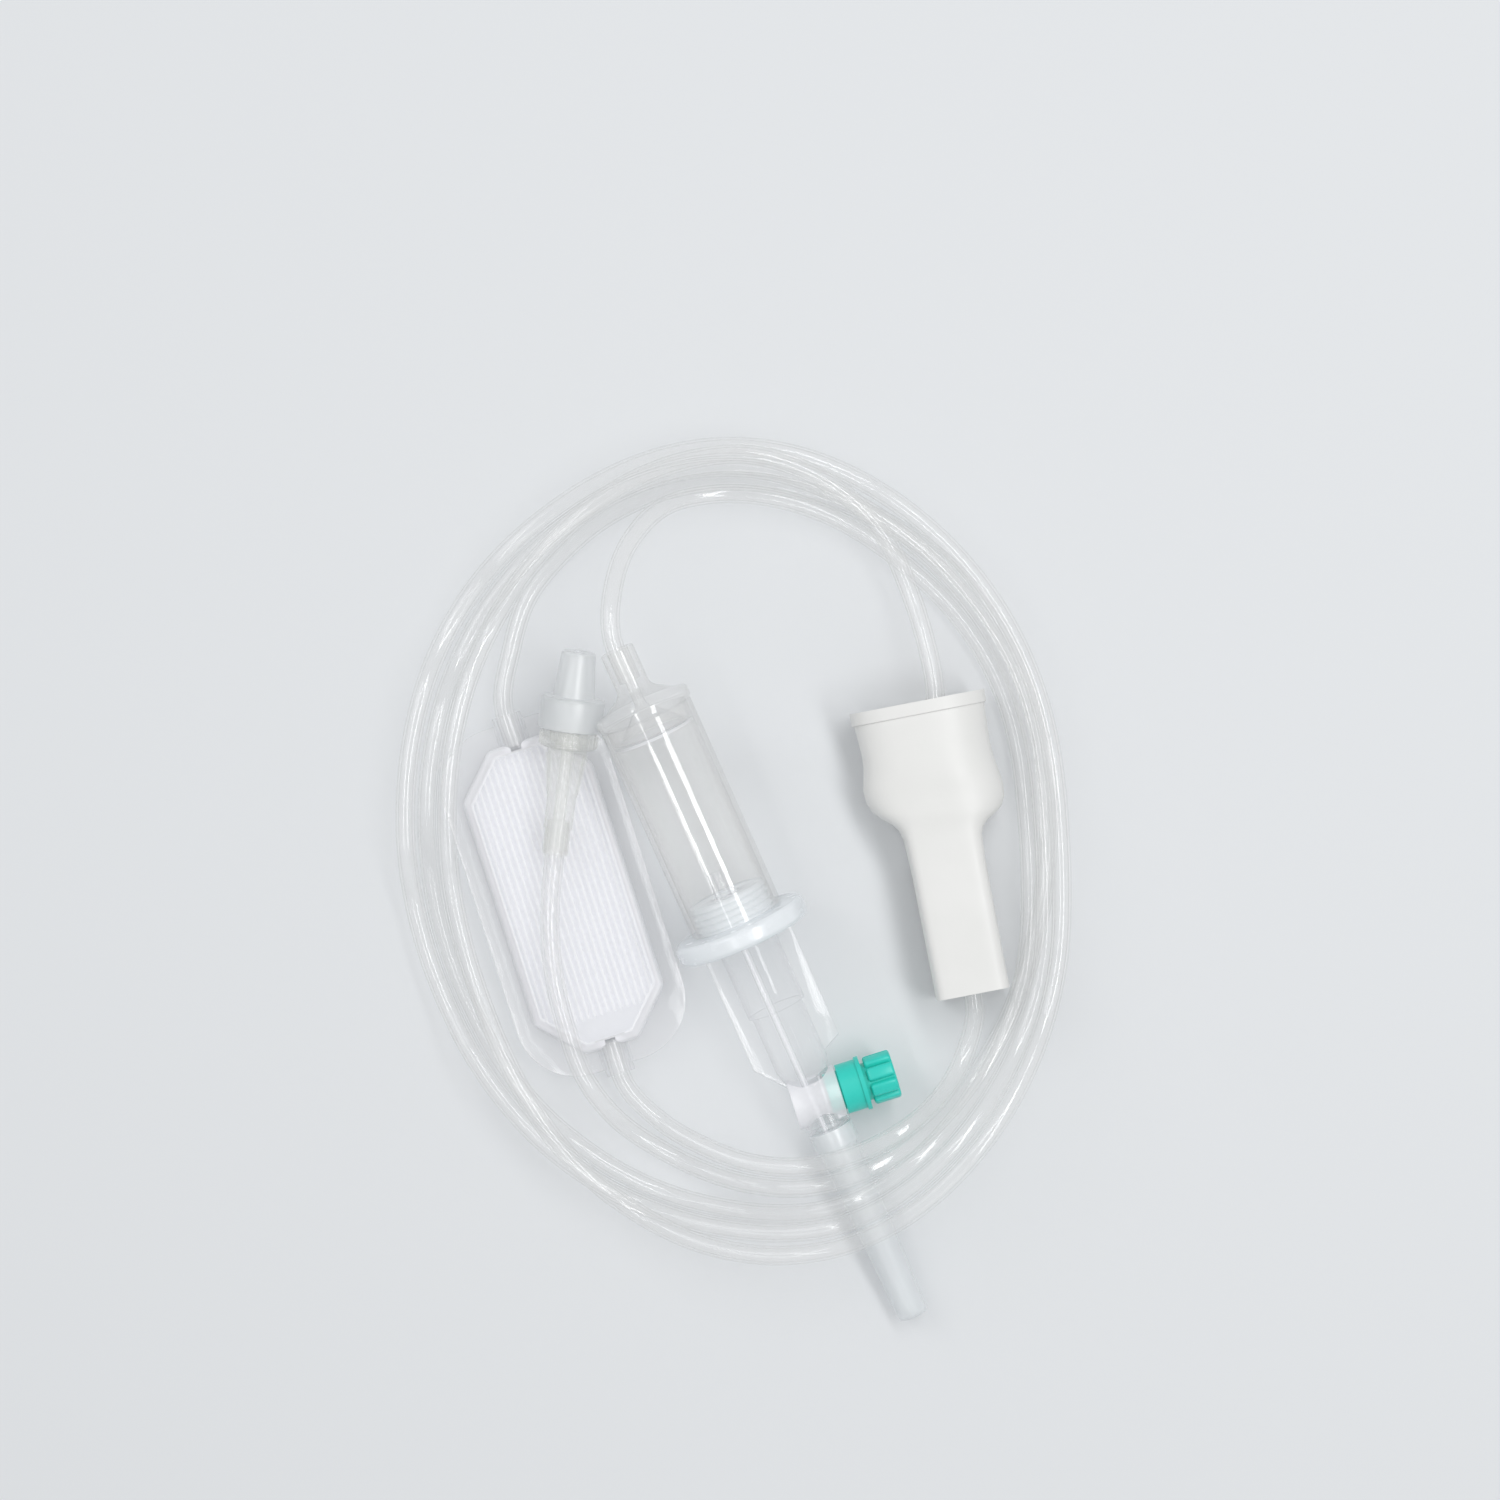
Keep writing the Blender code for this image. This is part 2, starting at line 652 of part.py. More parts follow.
def rounded_rectangle(length, width, corner, steps=6):
    """A rectangle outline with round corners."""
    points = []
    for index, (sx, sy) in enumerate(((1, 1), (-1, 1), (-1, -1), (1, -1))):
        cx = sx * (length / 2 - corner)
        cy = sy * (width / 2 - corner)
        for step in range(steps + 1):
            angle = math.pi / 2 * (index + step / steps)
            points.append((cx + corner * math.cos(angle), cy + corner * math.sin(angle)))
    return points


def window_half_length(y, inset):
    """How far the window reaches along X at a given Y."""
    straight = WINDOW_LENGTH / 2 - inset
    shoulder = WINDOW_WIDTH / 2 - inset - (WINDOW_CHAMFER_WIDTH - inset * 0.4)
    if abs(y) <= shoulder:
        return straight
    slope = (WINDOW_CHAMFER_LENGTH - inset * 0.4) / (WINDOW_CHAMFER_WIDTH - inset * 0.4)
    return straight - (abs(y) - shoulder) * slope


def rib_blocks(count, pitch, low, high, inset, reach_back=None):
    """Long parallel ribs inside the window."""
    corners = []
    for rib in range(count):
        y = (rib - (count - 1) / 2) * pitch
        far = window_half_length(abs(y) + RIB_WIDTH / 2, inset)
        near = far if reach_back is None else min(far, reach_back)
        corners.append(((-far, y - RIB_WIDTH / 2, low), (near, y + RIB_WIDTH / 2, high)))
    return corners


def port_rods(name, radius, inner, outer, sides=20):
    """The same round bar at both ends of the filter, along its length."""
    rods = []
    for end, sign in (("inlet", -1), ("outlet", 1)):
        bar = rod(f"{name}_{end}", radius, inner, outer, parent=flat_filter, sides=sides)
        rods.append(lay_along(bar, (sign, 0.0, 0.0), (0.0, 0.0, PORT_HEIGHT)))
    return rods


def make_filter_rear_cover():
    """Clear tray with the flange, the support ribs and both tube ports."""
    inner_end = WINDOW_LENGTH / 2 - COVER_WALL - PORT_REACH_IN
    flange = rounded_rectangle(FLANGE_LENGTH, FLANGE_WIDTH, FLANGE_CORNER)
    cover = slab("filter_rear_cover", flange, REAR_DEPTH, REAR_TOP, CLEAR_HARD, flat_filter)
    tray = slab("rear_tray", window(0.0), 0.0, REAR_TOP - 0.0002, parent=flat_filter)
    hollow = slab("rear_hollow", window(COVER_WALL), COVER_WALL, REAR_TOP + 0.001, parent=flat_filter)
    rib_stop = AIR_VENT_PLACE - AIR_VENT_DISC_RADIUS - 2 * GAP
    rib_corners = rib_blocks(
        REAR_RIB_COUNT, 2 * RIB_PITCH, COVER_WALL - 0.0002, COVER_WALL + REAR_RIB_HEIGHT,
        COVER_WALL + 4 * GAP, rib_stop,
    )
    ribs = blocks("rear_ribs", rib_corners, parent=flat_filter)
    ports = port_rods("port", PORT_RADIUS, inner_end, PORT_END)
    sockets = port_rods("port_socket", SOCKET_RADIUS, PORT_END - SOCKET_DEPTH, PORT_END + 0.001)
    bores = port_rods("port_bore", FLOW_BORE, inner_end - 0.001, PORT_END, sides=10)
    join(cover, tray)
    cut(cover, hollow)
    join(cover, ribs, *ports)
    cut(cover, *sockets, *bores)
    for side, sign in (("left", 1), ("right", -1)):
        hole = rod(f"air_hole_{side}", AIR_VENT_RADIUS, -0.001, COVER_WALL + 0.001, parent=flat_filter, sides=14)
        hole.location = (AIR_VENT_PLACE, sign * AIR_VENT_SPREAD, 0.0)
        cut(cover, hole)
    return cover


def make_filter_front_cover():
    """Clear ribbed cover that sits on the rear cover's flange."""
    flange = rounded_rectangle(FLANGE_LENGTH, FLANGE_WIDTH, FLANGE_CORNER)
    flange_top = FRONT_START + FLANGE_THICKNESS
    ceiling = FRONT_TOP - COVER_WALL
    cover = slab("filter_front_cover", flange, FRONT_START, flange_top, CLEAR_HARD, flat_filter)
    dome = slab("front_dome", window(0.0), FRONT_START + 0.0002, FRONT_TOP, parent=flat_filter)
    hollow = slab("front_hollow", window(COVER_WALL), FRONT_START - 0.001, ceiling, parent=flat_filter)
    rib_low = MEMBRANE_HEIGHT + MEMBRANE_THICKNESS + GAP
    rib_stop = WINDOW_LENGTH / 2 - FRONT_RIB_INSET
    rib_corners = rib_blocks(RIB_COUNT, RIB_PITCH, rib_low, ceiling + 0.0002, COVER_WALL + 4 * GAP, rib_stop)
    ribs = blocks("front_ribs", rib_corners, parent=flat_filter)
    inner_end = WINDOW_LENGTH / 2 - COVER_WALL - PORT_REACH_IN
    reliefs = port_rods("port_relief", PORT_RADIUS + GAP, inner_end - GAP, PORT_END + 0.001)
    join(cover, dome)
    cut(cover, hollow)
    join(cover, ribs)
    cut(cover, *reliefs)
    return cover


def make_filter_membrane():
    """White filter sheet between the two covers' ribs."""
    outline = window(COVER_WALL + MEMBRANE_MARGIN)
    low = MEMBRANE_HEIGHT
    sheet = slab("filter_membrane", outline, low, low + MEMBRANE_THICKNESS, MEMBRANE, flat_filter)
    notches = port_rods("port_notch", PORT_RADIUS + GAP, WINDOW_LENGTH / 2 - COVER_WALL - 3 * GAP, PORT_END)
    cut(sheet, *notches)
    return sheet


def make_air_vents():
    """Two small water-repelling discs over the rear cover's air holes."""
    for number, sign in ((1, 1), (2, -1)):
        disc = rod(
            f"filter_air_vent_{number}", AIR_VENT_DISC_RADIUS, COVER_WALL + GAP,
            COVER_WALL + GAP + AIR_VENT_DISC_THICKNESS, MEMBRANE, flat_filter, sides=16,
        )
        disc.location = (AIR_VENT_PLACE, sign * AIR_VENT_SPREAD, 0.0)


# Roller clamp: local X runs from the cup's mouth to the tail, Z is up, the roller is underneath
clamp = frame_empty(
    "clamp_frame",
    (*layout(CLAMP_PLACE), 0.0),
    (0.0, 0.0, 1.0),
    heading(CLAMP_HEADING),
)
ROLLER_HEIGHT = ROLLER_GROUND + ROLLER_RADIUS


def clamp_sections(inset):
    """Sections of the clamp body: place, half width, bottom, top, squareness."""
    rim = CUP_HALF_WIDTH
    waist = CUP_HALF_WIDTH - RIM_BAND_STEP - 0.0004
    tail = TAIL_HALF_WIDTH
    shape = [
        (0.0, rim, 0.0, CUP_HEIGHT, 2.6),
        (RIM_BAND_LENGTH, rim, 0.0, CUP_HEIGHT, 2.6),
        (RIM_BAND_LENGTH + 0.0002, rim - RIM_BAND_STEP, RIM_BAND_STEP, CUP_HEIGHT - RIM_BAND_STEP, 2.6),
        (0.0110, waist, RIM_BAND_STEP, CUP_HEIGHT - RIM_BAND_STEP, 2.6),
        (0.0150, waist + 0.0003, 0.0004, CUP_HEIGHT - 0.0004, 2.6),
        (0.0190, CUP_HALF_WIDTH + 0.0003, 0.0002, CUP_HEIGHT - 0.0006, 2.8),
        (0.0230, CUP_HALF_WIDTH - 0.0001, 0.0, CUP_HEIGHT - 0.0008, 3.0),
        (0.0262, (CUP_HALF_WIDTH + tail) / 2 + 0.0014, 0.0, (CUP_HEIGHT + TAIL_HEIGHT) / 2, 3.4),
        (0.0292, (CUP_HALF_WIDTH + tail) / 2 - 0.0014, 0.0, TAIL_HEIGHT + 0.0002, 4.2),
        (TAIL_START, tail + 0.0003, 0.0, TAIL_HEIGHT, 5.5),
        (TAIL_START + 0.0030, tail, 0.0, TAIL_HEIGHT, 7.0),
        (CLAMP_LENGTH, tail, 0.0, TAIL_HEIGHT, 7.0),
    ]
    return [(x, half - inset, low + inset, high - inset, power) for x, half, low, high, power in shape]


def superellipse(half_width, low, high, power, count):
    """Points round a section, from an ellipse towards a rectangle as power grows."""
    points = []
    middle = (low + high) / 2
    half_height = (high - low) / 2
    for index in range(count):
        angle = 2 * math.pi * (index + 0.5) / count
        c = math.cos(angle)
        s = math.sin(angle)
        y = half_width * math.copysign(abs(c) ** (2 / power), c)
        z = middle + half_height * math.copysign(abs(s) ** (2 / power), s)
        points.append((y, z))
    return points


def loft(name, sections, mat=None, parent=None, count=28):
    """A closed skin through sections along local X."""
    mesh = bpy.data.meshes.new(name)
    bm = bmesh.new()
    rings = []
    for x, half, low, high, power in sections:
        outline = superellipse(half, low, high, power, count)
        rings.append([bm.verts.new((x, y, z)) for y, z in outline])
    for first, second in zip(rings, rings[1:]):
        for i in range(count):
            j = (i + 1) % count
            bm.faces.new((first[i], second[i], second[j], first[j]))
    bm.faces.new(rings[0])
    bm.faces.new(list(reversed(rings[-1])))
    bmesh.ops.recalc_face_normals(bm, faces=bm.faces)
    bm.to_mesh(mesh)
    bm.free()
    return add_object(name, mesh, mat, parent)


def across(obj):
    """Stands a slab drawn in XZ upright, so that its thickness runs across the clamp."""
    obj.rotation_euler = (math.pi / 2, 0.0, 0.0)
    return obj


def stadium(low_x, high_x, y, radius, steps=6):
    """A slot outline with round ends."""
    points = []
    for centre, start in ((high_x, -math.pi / 2), (low_x, math.pi / 2)):
        for step in range(steps + 1):
            angle = start + math.pi * step / steps
            points.append((centre + radius * math.cos(angle), y + radius * math.sin(angle)))
    return points


def make_clamp_body():
    """One moulding: a cup for the used spike, and a channel with the roller's slots."""
    body = loft("clamp_body", clamp_sections(0.0), OFF_WHITE, clamp)
    cup = [row for row in clamp_sections(CUP_WALL) if row[0] < CUP_DEPTH - 0.002]
    mouth = cup[0]
    last = cup[-1]
    cup[0] = (-0.001, *mouth[1:])
    cup.append((CUP_DEPTH, last[1] - 0.0030, last[2] + 0.0012, last[3] - 0.0012, last[4]))
    cup_hollow = loft("cup_hollow", cup, parent=clamp)
    end = CLAMP_LENGTH + 0.001
    ramp_start = ROLLER_OPEN_PLACE
    ramp_end = ROLLER_OPEN_PLACE + ROLLER_TRAVEL
    outline = [
        (CHANNEL_START, -0.001),
        (end, -0.001),
        (end, CEILING_CLOSED),
        (ramp_end, CEILING_CLOSED),
        (ramp_start, CEILING_OPEN),
        (CHANNEL_START, CEILING_OPEN),
    ]
    inside = TAIL_HALF_WIDTH - TAIL_WALL
    channel = across(slab("channel", outline, -inside, inside, parent=clamp))
    slot_radius = AXLE_RADIUS + AXLE_CLEARANCE
    slot_outline = stadium(ramp_start, ramp_end, ROLLER_HEIGHT, slot_radius)
    wide = CUP_HALF_WIDTH + 0.002
    slots = across(slab("axle_slots", slot_outline, -wide, wide, parent=clamp))
    scallop_low = ramp_start - ROLLER_RADIUS * 0.7
    scallop_high = ramp_end + ROLLER_RADIUS * 0.7
    scallop = blocks(
        "thumb_scallop",
        [((scallop_low, -wide, -0.001), (scallop_high, wide, SCALLOP_HEIGHT))],
        parent=clamp,
    )
    hole = rod("tube_hole", SOCKET_RADIUS, CUP_DEPTH - 0.003, CHANNEL_START + 0.001, parent=clamp, sides=16)
    lay_along(hole, (1.0, 0.0, 0.0), (0.0, 0.0, tube_height_in_clamp(CHANNEL_START)))
    cut(body, cup_hollow, channel, slots, scallop, hole)
    return body


def tube_height_in_clamp(x):
    """Height of the tube's axis under the channel's sloping ceiling."""
    share = min(max((x - ROLLER_OPEN_PLACE) / ROLLER_TRAVEL, 0.0), 1.0)
    ceiling = CEILING_OPEN + (CEILING_CLOSED - CEILING_OPEN) * share
    return ceiling - TUBE_RADIUS - GAP


def make_clamp_roller():
    """Ribbed roller with its axle stubs, which ride in the body's slots."""
    points = []
    for tooth in range(ROLLER_TEETH):
        for share, radius in ((0.0, ROLLER_RADIUS), (0.45, ROLLER_RADIUS), (0.6, ROLLER_RADIUS - ROLLER_TOOTH),
                              (0.85, ROLLER_RADIUS - ROLLER_TOOTH)):
            angle = 2 * math.pi * (tooth + share) / ROLLER_TEETH
            points.append((radius * math.cos(angle), radius * math.sin(angle)))
    roller = slab("clamp_roller", points, -ROLLER_WIDTH / 2, ROLLER_WIDTH / 2, OFF_WHITE, clamp)
    roller.rotation_euler = (math.pi / 2, 0.0, 0.0)
    roller.location = (ROLLER_OPEN_PLACE, 0.0, ROLLER_HEIGHT)
    axle = rod("axle_stubs", AXLE_RADIUS, -AXLE_SPAN / 2, AXLE_SPAN / 2, parent=roller, sides=14)
    join(roller, axle)
    return roller


# Male luer lock end: local Z runs from the cap's tip to the tube's sleeve
luer = frame_empty(
    "luer_frame",
    (*layout(LUER_PLACE), LUER_TIP_HEIGHT),
    heading(LUER_HEADING, -LUER_FALL),
    heading(LUER_HEADING + math.pi / 2),
)
CAP_END = LUER_CAP_CONE_LENGTH + LUER_CAP_SKIRT_LENGTH
COLLAR_FRONT = CAP_END + GAP
COLLAR_END = COLLAR_FRONT + COLLAR_LENGTH
GRIP_START = COLLAR_END + GAP
STEP_START = GRIP_START + ADAPTER_GRIP_LENGTH
END_START = STEP_START + ADAPTER_STEP_LENGTH
ADAPTER_END = END_START + ADAPTER_END_LENGTH


def make_luer_cap():
    """Protective cap: a slim cone on a wide skirt, with an inner hub over the male luer."""
    wall = LUER_CAP_WALL
    skirt_inner = LUER_CAP_SKIRT_RADIUS - wall
    male_room = MALE_BASE_RADIUS + 2 * GAP
    male_start = COLLAR_FRONT - MALE_REACH - GAP
    floor = LUER_CAP_CONE_LENGTH + LUER_CAP_FLOOR
    hub_end = CAP_END - LUER_CAP_HUB_SETBACK
    profile = [
        (skirt_inner, CAP_END),
        (LUER_CAP_SKIRT_RADIUS, CAP_END),
        (LUER_CAP_SKIRT_RADIUS, LUER_CAP_CONE_LENGTH + LUER_CAP_SHOULDER),
        (LUER_CAP_SKIRT_RADIUS - LUER_CAP_SHOULDER, LUER_CAP_CONE_LENGTH),
        (LUER_CAP_CONE_RADIUS, LUER_CAP_CONE_LENGTH),
        (LUER_CAP_TIP_RADIUS, LUER_CAP_SHOULDER),
        (LUER_CAP_TIP_RADIUS - LUER_CAP_SHOULDER, 0.0),
        (LUER_CAP_HOLE, 0.0),
        (LUER_CAP_HOLE, LUER_DISC_THICKNESS + 2 * GAP),
        (male_room * 0.72, LUER_DISC_THICKNESS + 2 * GAP),
        (male_room, male_start - 0.0010),
        (male_room, hub_end),
        (male_room + wall, hub_end),
        (male_room + wall, floor),
        (skirt_inner, floor),
    ]
    return turned("luer_cap", profile, MILKY, luer, steps=28)


def make_luer_cap_membrane():
    """Small air-passing disc in the cap's tip."""
    return rod(
        "luer_cap_membrane", LUER_CAP_HOLE - GAP, GAP, GAP + LUER_DISC_THICKNESS, MEMBRANE, luer, sides=14,
    )


def make_luer_collar():
    """Turning lock collar round the male luer."""
    neck = ADAPTER_NECK_RADIUS + GAP
    profile = [
        (neck, COLLAR_END),
        (COLLAR_RADIUS - 0.0004, COLLAR_END),
        (COLLAR_RADIUS, COLLAR_END - 0.0004),
        (COLLAR_RADIUS, COLLAR_FRONT + 0.0004),
        (COLLAR_RADIUS - 0.0004, COLLAR_FRONT),
        (COLLAR_BORE, COLLAR_FRONT),
        (COLLAR_BORE, COLLAR_END - COLLAR_FLOOR),
        (neck, COLLAR_END - COLLAR_FLOOR),
    ]
    collar = turned("luer_collar", profile, CLEAR_HARD, luer, steps=28)
    corners = [((COLLAR_RADIUS - 0.0006, -0.0004, COLLAR_FRONT + 0.0006),
                (COLLAR_RADIUS + COLLAR_GRIP_HEIGHT, 0.0004, COLLAR_END - 0.0006))]
    for grip in range(COLLAR_GRIPS):
        bar = blocks(f"collar_grip_{grip}", corners, parent=luer)
        bar.rotation_euler = (0.0, 0.0, 2 * math.pi * grip / COLLAR_GRIPS)
        join(collar, bar)
    return collar


def make_luer_adapter():
    """Ribbed adapter: the male luer cone in front, the stepped tube sleeve behind."""
    male_front = COLLAR_FRONT - MALE_REACH
    male_back = male_front + MALE_LENGTH
    socket_floor = ADAPTER_END - SOCKET_DEPTH
    profile = [
        (SOCKET_RADIUS, ADAPTER_END),
        (ADAPTER_END_RADIUS, ADAPTER_END),
        (ADAPTER_END_RADIUS, END_START),
        (ADAPTER_STEP_RADIUS, END_START),
        (ADAPTER_STEP_RADIUS, STEP_START),
        (ADAPTER_GRIP_REAR_RADIUS, STEP_START),
        (ADAPTER_GRIP_RADIUS, GRIP_START),
        (ADAPTER_NECK_RADIUS, GRIP_START),
        (ADAPTER_NECK_RADIUS, male_back + 0.0012),
        (MALE_BASE_RADIUS, male_back),
        (MALE_TIP_RADIUS, male_front),
        (FLOW_BORE, male_front),
        (FLOW_BORE, socket_floor),
        (SOCKET_RADIUS, socket_floor),
    ]
    adapter = turned("luer_adapter", profile, CLEAR_HARD, luer, steps=24)
    rib_front = GRIP_START + 0.0012
    rib_rear = STEP_START - 0.0006
    outline = [
        (ADAPTER_NECK_RADIUS, rib_front),
        (ADAPTER_GRIP_RADIUS + ADAPTER_RIB_HEIGHT, rib_front),
        (ADAPTER_GRIP_REAR_RADIUS + ADAPTER_RIB_HEIGHT, rib_rear),
        (ADAPTER_NECK_RADIUS, rib_rear),
    ]
    for rib in range(ADAPTER_GRIP_RIBS):
        bar = slab(f"adapter_rib_{rib}", outline, -0.0003, 0.0003, parent=luer)
        bar.data.transform(Matrix.Rotation(math.pi / 2, 4, "X"))
        bar.rotation_euler = (0.0, 0.0, 2 * math.pi * rib / ADAPTER_GRIP_RIBS)
        join(adapter, bar)
    return adapter


# Tube routes. A row is a plan place with a height where a fitting holds the tube.
# Angles run clockwise from +X; the radius is a share of the coil's ellipse.
LONG_COIL = (
    (262, 0.884), (285, 0.885), (300, 0.888), (312, 0.900), (324, 0.922), (336, 0.932), (360, 0.925),
    (370, 0.942), (380, 0.963), (390, 0.965), (405, 0.958), (426, 0.942), (450, 0.890), (480, 0.868),
    (510, 0.890), (540, 0.935), (570, 0.965), (600, 0.955), (630, 0.950), (660, 0.945), (672, 0.955),
    (696, 0.980), (720, 0.970), (740, 1.010), (765, 1.003), (786, 0.985), (810, 0.935), (840, 0.920),
    (870, 0.945), (900, 1.000), (930, 1.030), (960, 1.000), (990, 1.000), (1020, 1.003), (1056, 1.026),
    (1080, 1.020), (1100, 1.055), (1125, 1.055), (1140, 1.045), (1170, 0.985), (1200, 0.910),
    (1230, 0.855), (1260, 0.872), (1290, 0.915), (1320, 0.947), (1345, 0.975), (1355, 0.980),
    (1365, 0.965), (1380, 0.920), (1394, 0.825),
)
LONG_LEAD = ((-0.0252, 0.0748), (-0.0250, 0.0796), (-0.0242, 0.0848), (-0.0225, 0.0899), (-0.0197, 0.0947),
             (-0.0160, 0.0987), (-0.0109, 0.1014))
LUER_COIL = (
    (225, 0.887), (240, 0.908), (255, 0.915), (270, 0.918), (285, 0.922), (297, 0.940), (308, 0.965),
    (320, 0.990), (336, 1.003), (350, 0.997), (365, 0.980), (385, 0.960), (405, 0.932), (426, 0.885),
    (438, 0.852), (450, 0.815), (470, 0.765),
)
LUER_LEAD = ((-0.0466, 0.0622), (-0.0466, 0.0664), (-0.0460, 0.0722))
LUER_TAIL = ((-0.0286, -0.0233), (-0.0313, -0.0181), (-0.0334, -0.0128), (-0.0353, -0.0065), (-0.0368, -0.0002),
             (-0.0376, 0.0061), (-0.0380, 0.0124), (-0.0379, 0.0176))
SHORT_RUN = ((0.0506, -0.0076), (0.0489, -0.0139), (0.0454, -0.0208), (0.0399, -0.0267), (0.0332, -0.0315),
             (0.0258, -0.0349), (0.0174, -0.0372), (0.0080, -0.0376), (-0.0015, -0.0355), (-0.0088, -0.0323),
             (-0.0145, -0.0290), (-0.0200, -0.0248))
RUN_STEP = 0.002
FALL = 0.5
SHOULDER = 0.006
CEILING_OF_PILE = 6


def coil_rows(turns, spread=6.0):
    """Plan rows along the coil, read smoothly between the listed angles."""
    angles = np.array([row[0] for row in turns], float)
    shares = np.array([row[1] for row in turns], float)
    count = int(round((angles[-1] - angles[0]) / spread))
    wanted = np.linspace(angles[0], angles[-1], count + 1)
    rows = []
    for angle, share in zip(wanted, hermite(angles, shares, wanted)):
        turn = math.radians(angle)
        x = COIL_CENTRE[0] + COIL_HALF_WIDTH * share * math.cos(turn)
        y = COIL_CENTRE[1] - COIL_HALF_HEIGHT * share * math.sin(turn)
        rows.append((x, y, None))
    return rows


def hermite(knots, values, wanted):
    """Cubic interpolation whose slope at a knot is that of its two neighbours."""
    slopes = np.gradient(values, knots, axis=0)
    index = np.clip(np.searchsorted(knots, wanted, side="right") - 1, 0, len(knots) - 2)
    width = knots[index + 1] - knots[index]
    t = (wanted - knots[index]) / width
    if values.ndim > 1:
        width = width[:, None]
        t = t[:, None]
    h00 = 2 * t**3 - 3 * t**2 + 1
    h10 = t**3 - 2 * t**2 + t
    h01 = 3 * t**2 - 2 * t**3
    h11 = t**3 - t**2
    return h00 * values[index] + h10 * width * slopes[index] + h01 * values[index + 1] + h11 * width * slopes[index + 1]


def held(frame, places):
    """Rows that a fitting holds, from places in its frame."""
    rows = []
    for place in places:
        point = frame.matrix_world @ Vector(place)
        rows.append((point.x + PLAN_ORIGIN[0], point.y + PLAN_ORIGIN[1], point.z))
    return rows


def free(places):
    """Rows of a run that nothing holds."""
    return [(x, y, None) for x, y in places]


def even_run(rows):
    """The rows' smooth plan curve in even steps, its arc lengths and its held heights."""
    plan = np.array([row[:2] for row in rows])
    knots = np.concatenate([[0.0], np.cumsum(np.linalg.norm(np.diff(plan, axis=0), axis=1))])
    fine = np.linspace(0.0, knots[-1], int(knots[-1] / 0.0005) + 1)
    curve = hermite(knots, plan, fine)
    arc = np.concatenate([[0.0], np.cumsum(np.linalg.norm(np.diff(curve, axis=0), axis=1))])
    count = int(round(arc[-1] / RUN_STEP))
    even = np.linspace(0.0, arc[-1], count + 1)
    run = np.column_stack([np.interp(even, arc, curve[:, axis]) for axis in (0, 1)])
    knot_arc = np.interp(knots, fine, arc)
    heights = np.full(len(even), np.nan)
    fixed = [(knot_arc[i], row[2]) for i, row in enumerate(rows) if row[2] is not None]
    middle = knot_arc[-1] / 2
    for stretch in ([f for f in fixed if f[0] < middle], [f for f in fixed if f[0] >= middle]):
        if len(stretch) > 1:
            at = np.array([f[0] for f in stretch])
            inside = (even >= at[0] - WELD) & (even <= at[-1] + WELD)
            heights[inside] = np.interp(even[inside], at, [f[1] for f in stretch])
    return run, even, heights


def support_height(run):
    """Lowest height of a tube's axis over the floor, the spike's sheath and the filter."""
    lowest = np.full(len(run), TUBE_RADIUS)
    origin = np.array(drip.matrix_world.translation)
    axis = np.array(drip_axis)
    flat_axis = axis[:2] / np.linalg.norm(axis[:2])
    plan = run - np.array(PLAN_ORIGIN)
    along = (plan - origin[:2]) @ flat_axis / math.cos(DRIP_FALL)
    side = (plan - origin[:2]) @ np.array([-flat_axis[1], flat_axis[0]])
    reach = SHEATH_BASE_RADIUS + TUBE_RADIUS + 2 * GAP
    over = (along > NECK_START) & (along < SHEATH_END + 0.002) & (np.abs(side) < reach)
    axis_height = origin[2] + along * axis[2]
    rise = np.sqrt(np.clip(reach**2 - side**2, 0.0, None)) / math.cos(DRIP_FALL)
    lowest = np.where(over, np.maximum(lowest, axis_height + rise), lowest)
    turn = np.array(flat_filter.matrix_world.inverted())
    local = plan @ turn[:2, :2].T + turn[:2, 3]
    near = TUBE_RADIUS + 3 * GAP
    on_flange = (np.abs(local[:, 0]) < FLANGE_LENGTH / 2 + near) & (np.abs(local[:, 1]) < FLANGE_WIDTH / 2 + near)
    on_window = (np.abs(local[:, 0]) < WINDOW_LENGTH / 2 + near) & (np.abs(local[:, 1]) < WINDOW_WIDTH / 2 + near)
    flange_rest = FRONT_START + FLANGE_THICKNESS + TUBE_RADIUS + GAP
    lowest = np.where(on_flange, np.maximum(lowest, flange_rest), lowest)
    return np.where(on_window, np.maximum(lowest, FRONT_TOP + TUBE_RADIUS + GAP), lowest)


def settle(rows, beneath):
    """Lays a run over the floor, the fittings, the runs beneath it and its own earlier turns."""
    run, arc, fixed = even_run(rows)
    is_held = ~np.isnan(fixed)
    floor = support_height(run)
    floor[is_held] = fixed[is_held]
    for other in beneath:
        apart = np.linalg.norm(run[:, None, :] - other[None, :, :2], axis=2)
        lift = np.sqrt(np.clip(TUBE_LIFT**2 - apart**2, 0.0, None))
        on_top = np.where(apart < TUBE_LIFT, other[None, :, 2] + lift, 0.0).max(axis=1)
        floor = np.where(is_held, floor, np.maximum(floor, on_top))
    between = np.abs(arc[:, None] - arc[None, :])
    own = np.linalg.norm(run[:, None, :] - run[None, :, :], axis=2)
    earlier = (own < TUBE_LIFT) & (arc[:, None] - arc[None, :] > 0.03)
    own_lift = np.sqrt(np.clip(TUBE_LIFT**2 - own**2, 0.0, None))
    slope = FALL * np.clip(between - SHOULDER, 0.0, None)
    window_weight = (between <= SHOULDER / 2).astype(float)
    window_weight /= window_weight.sum(axis=1, keepdims=True)
    height = floor.copy()
    for _ in range(CEILING_OF_PILE):
        on_own = np.where(earlier, height[None, :] + own_lift, 0.0).max(axis=1)
        needed = np.where(is_held, floor, np.maximum(floor, on_own))
        draped = (needed[None, :] - slope).max(axis=1)
        height = window_weight @ (window_weight @ draped)
        height = ease_to_held(height, fixed, arc)
    return np.column_stack([run, height])


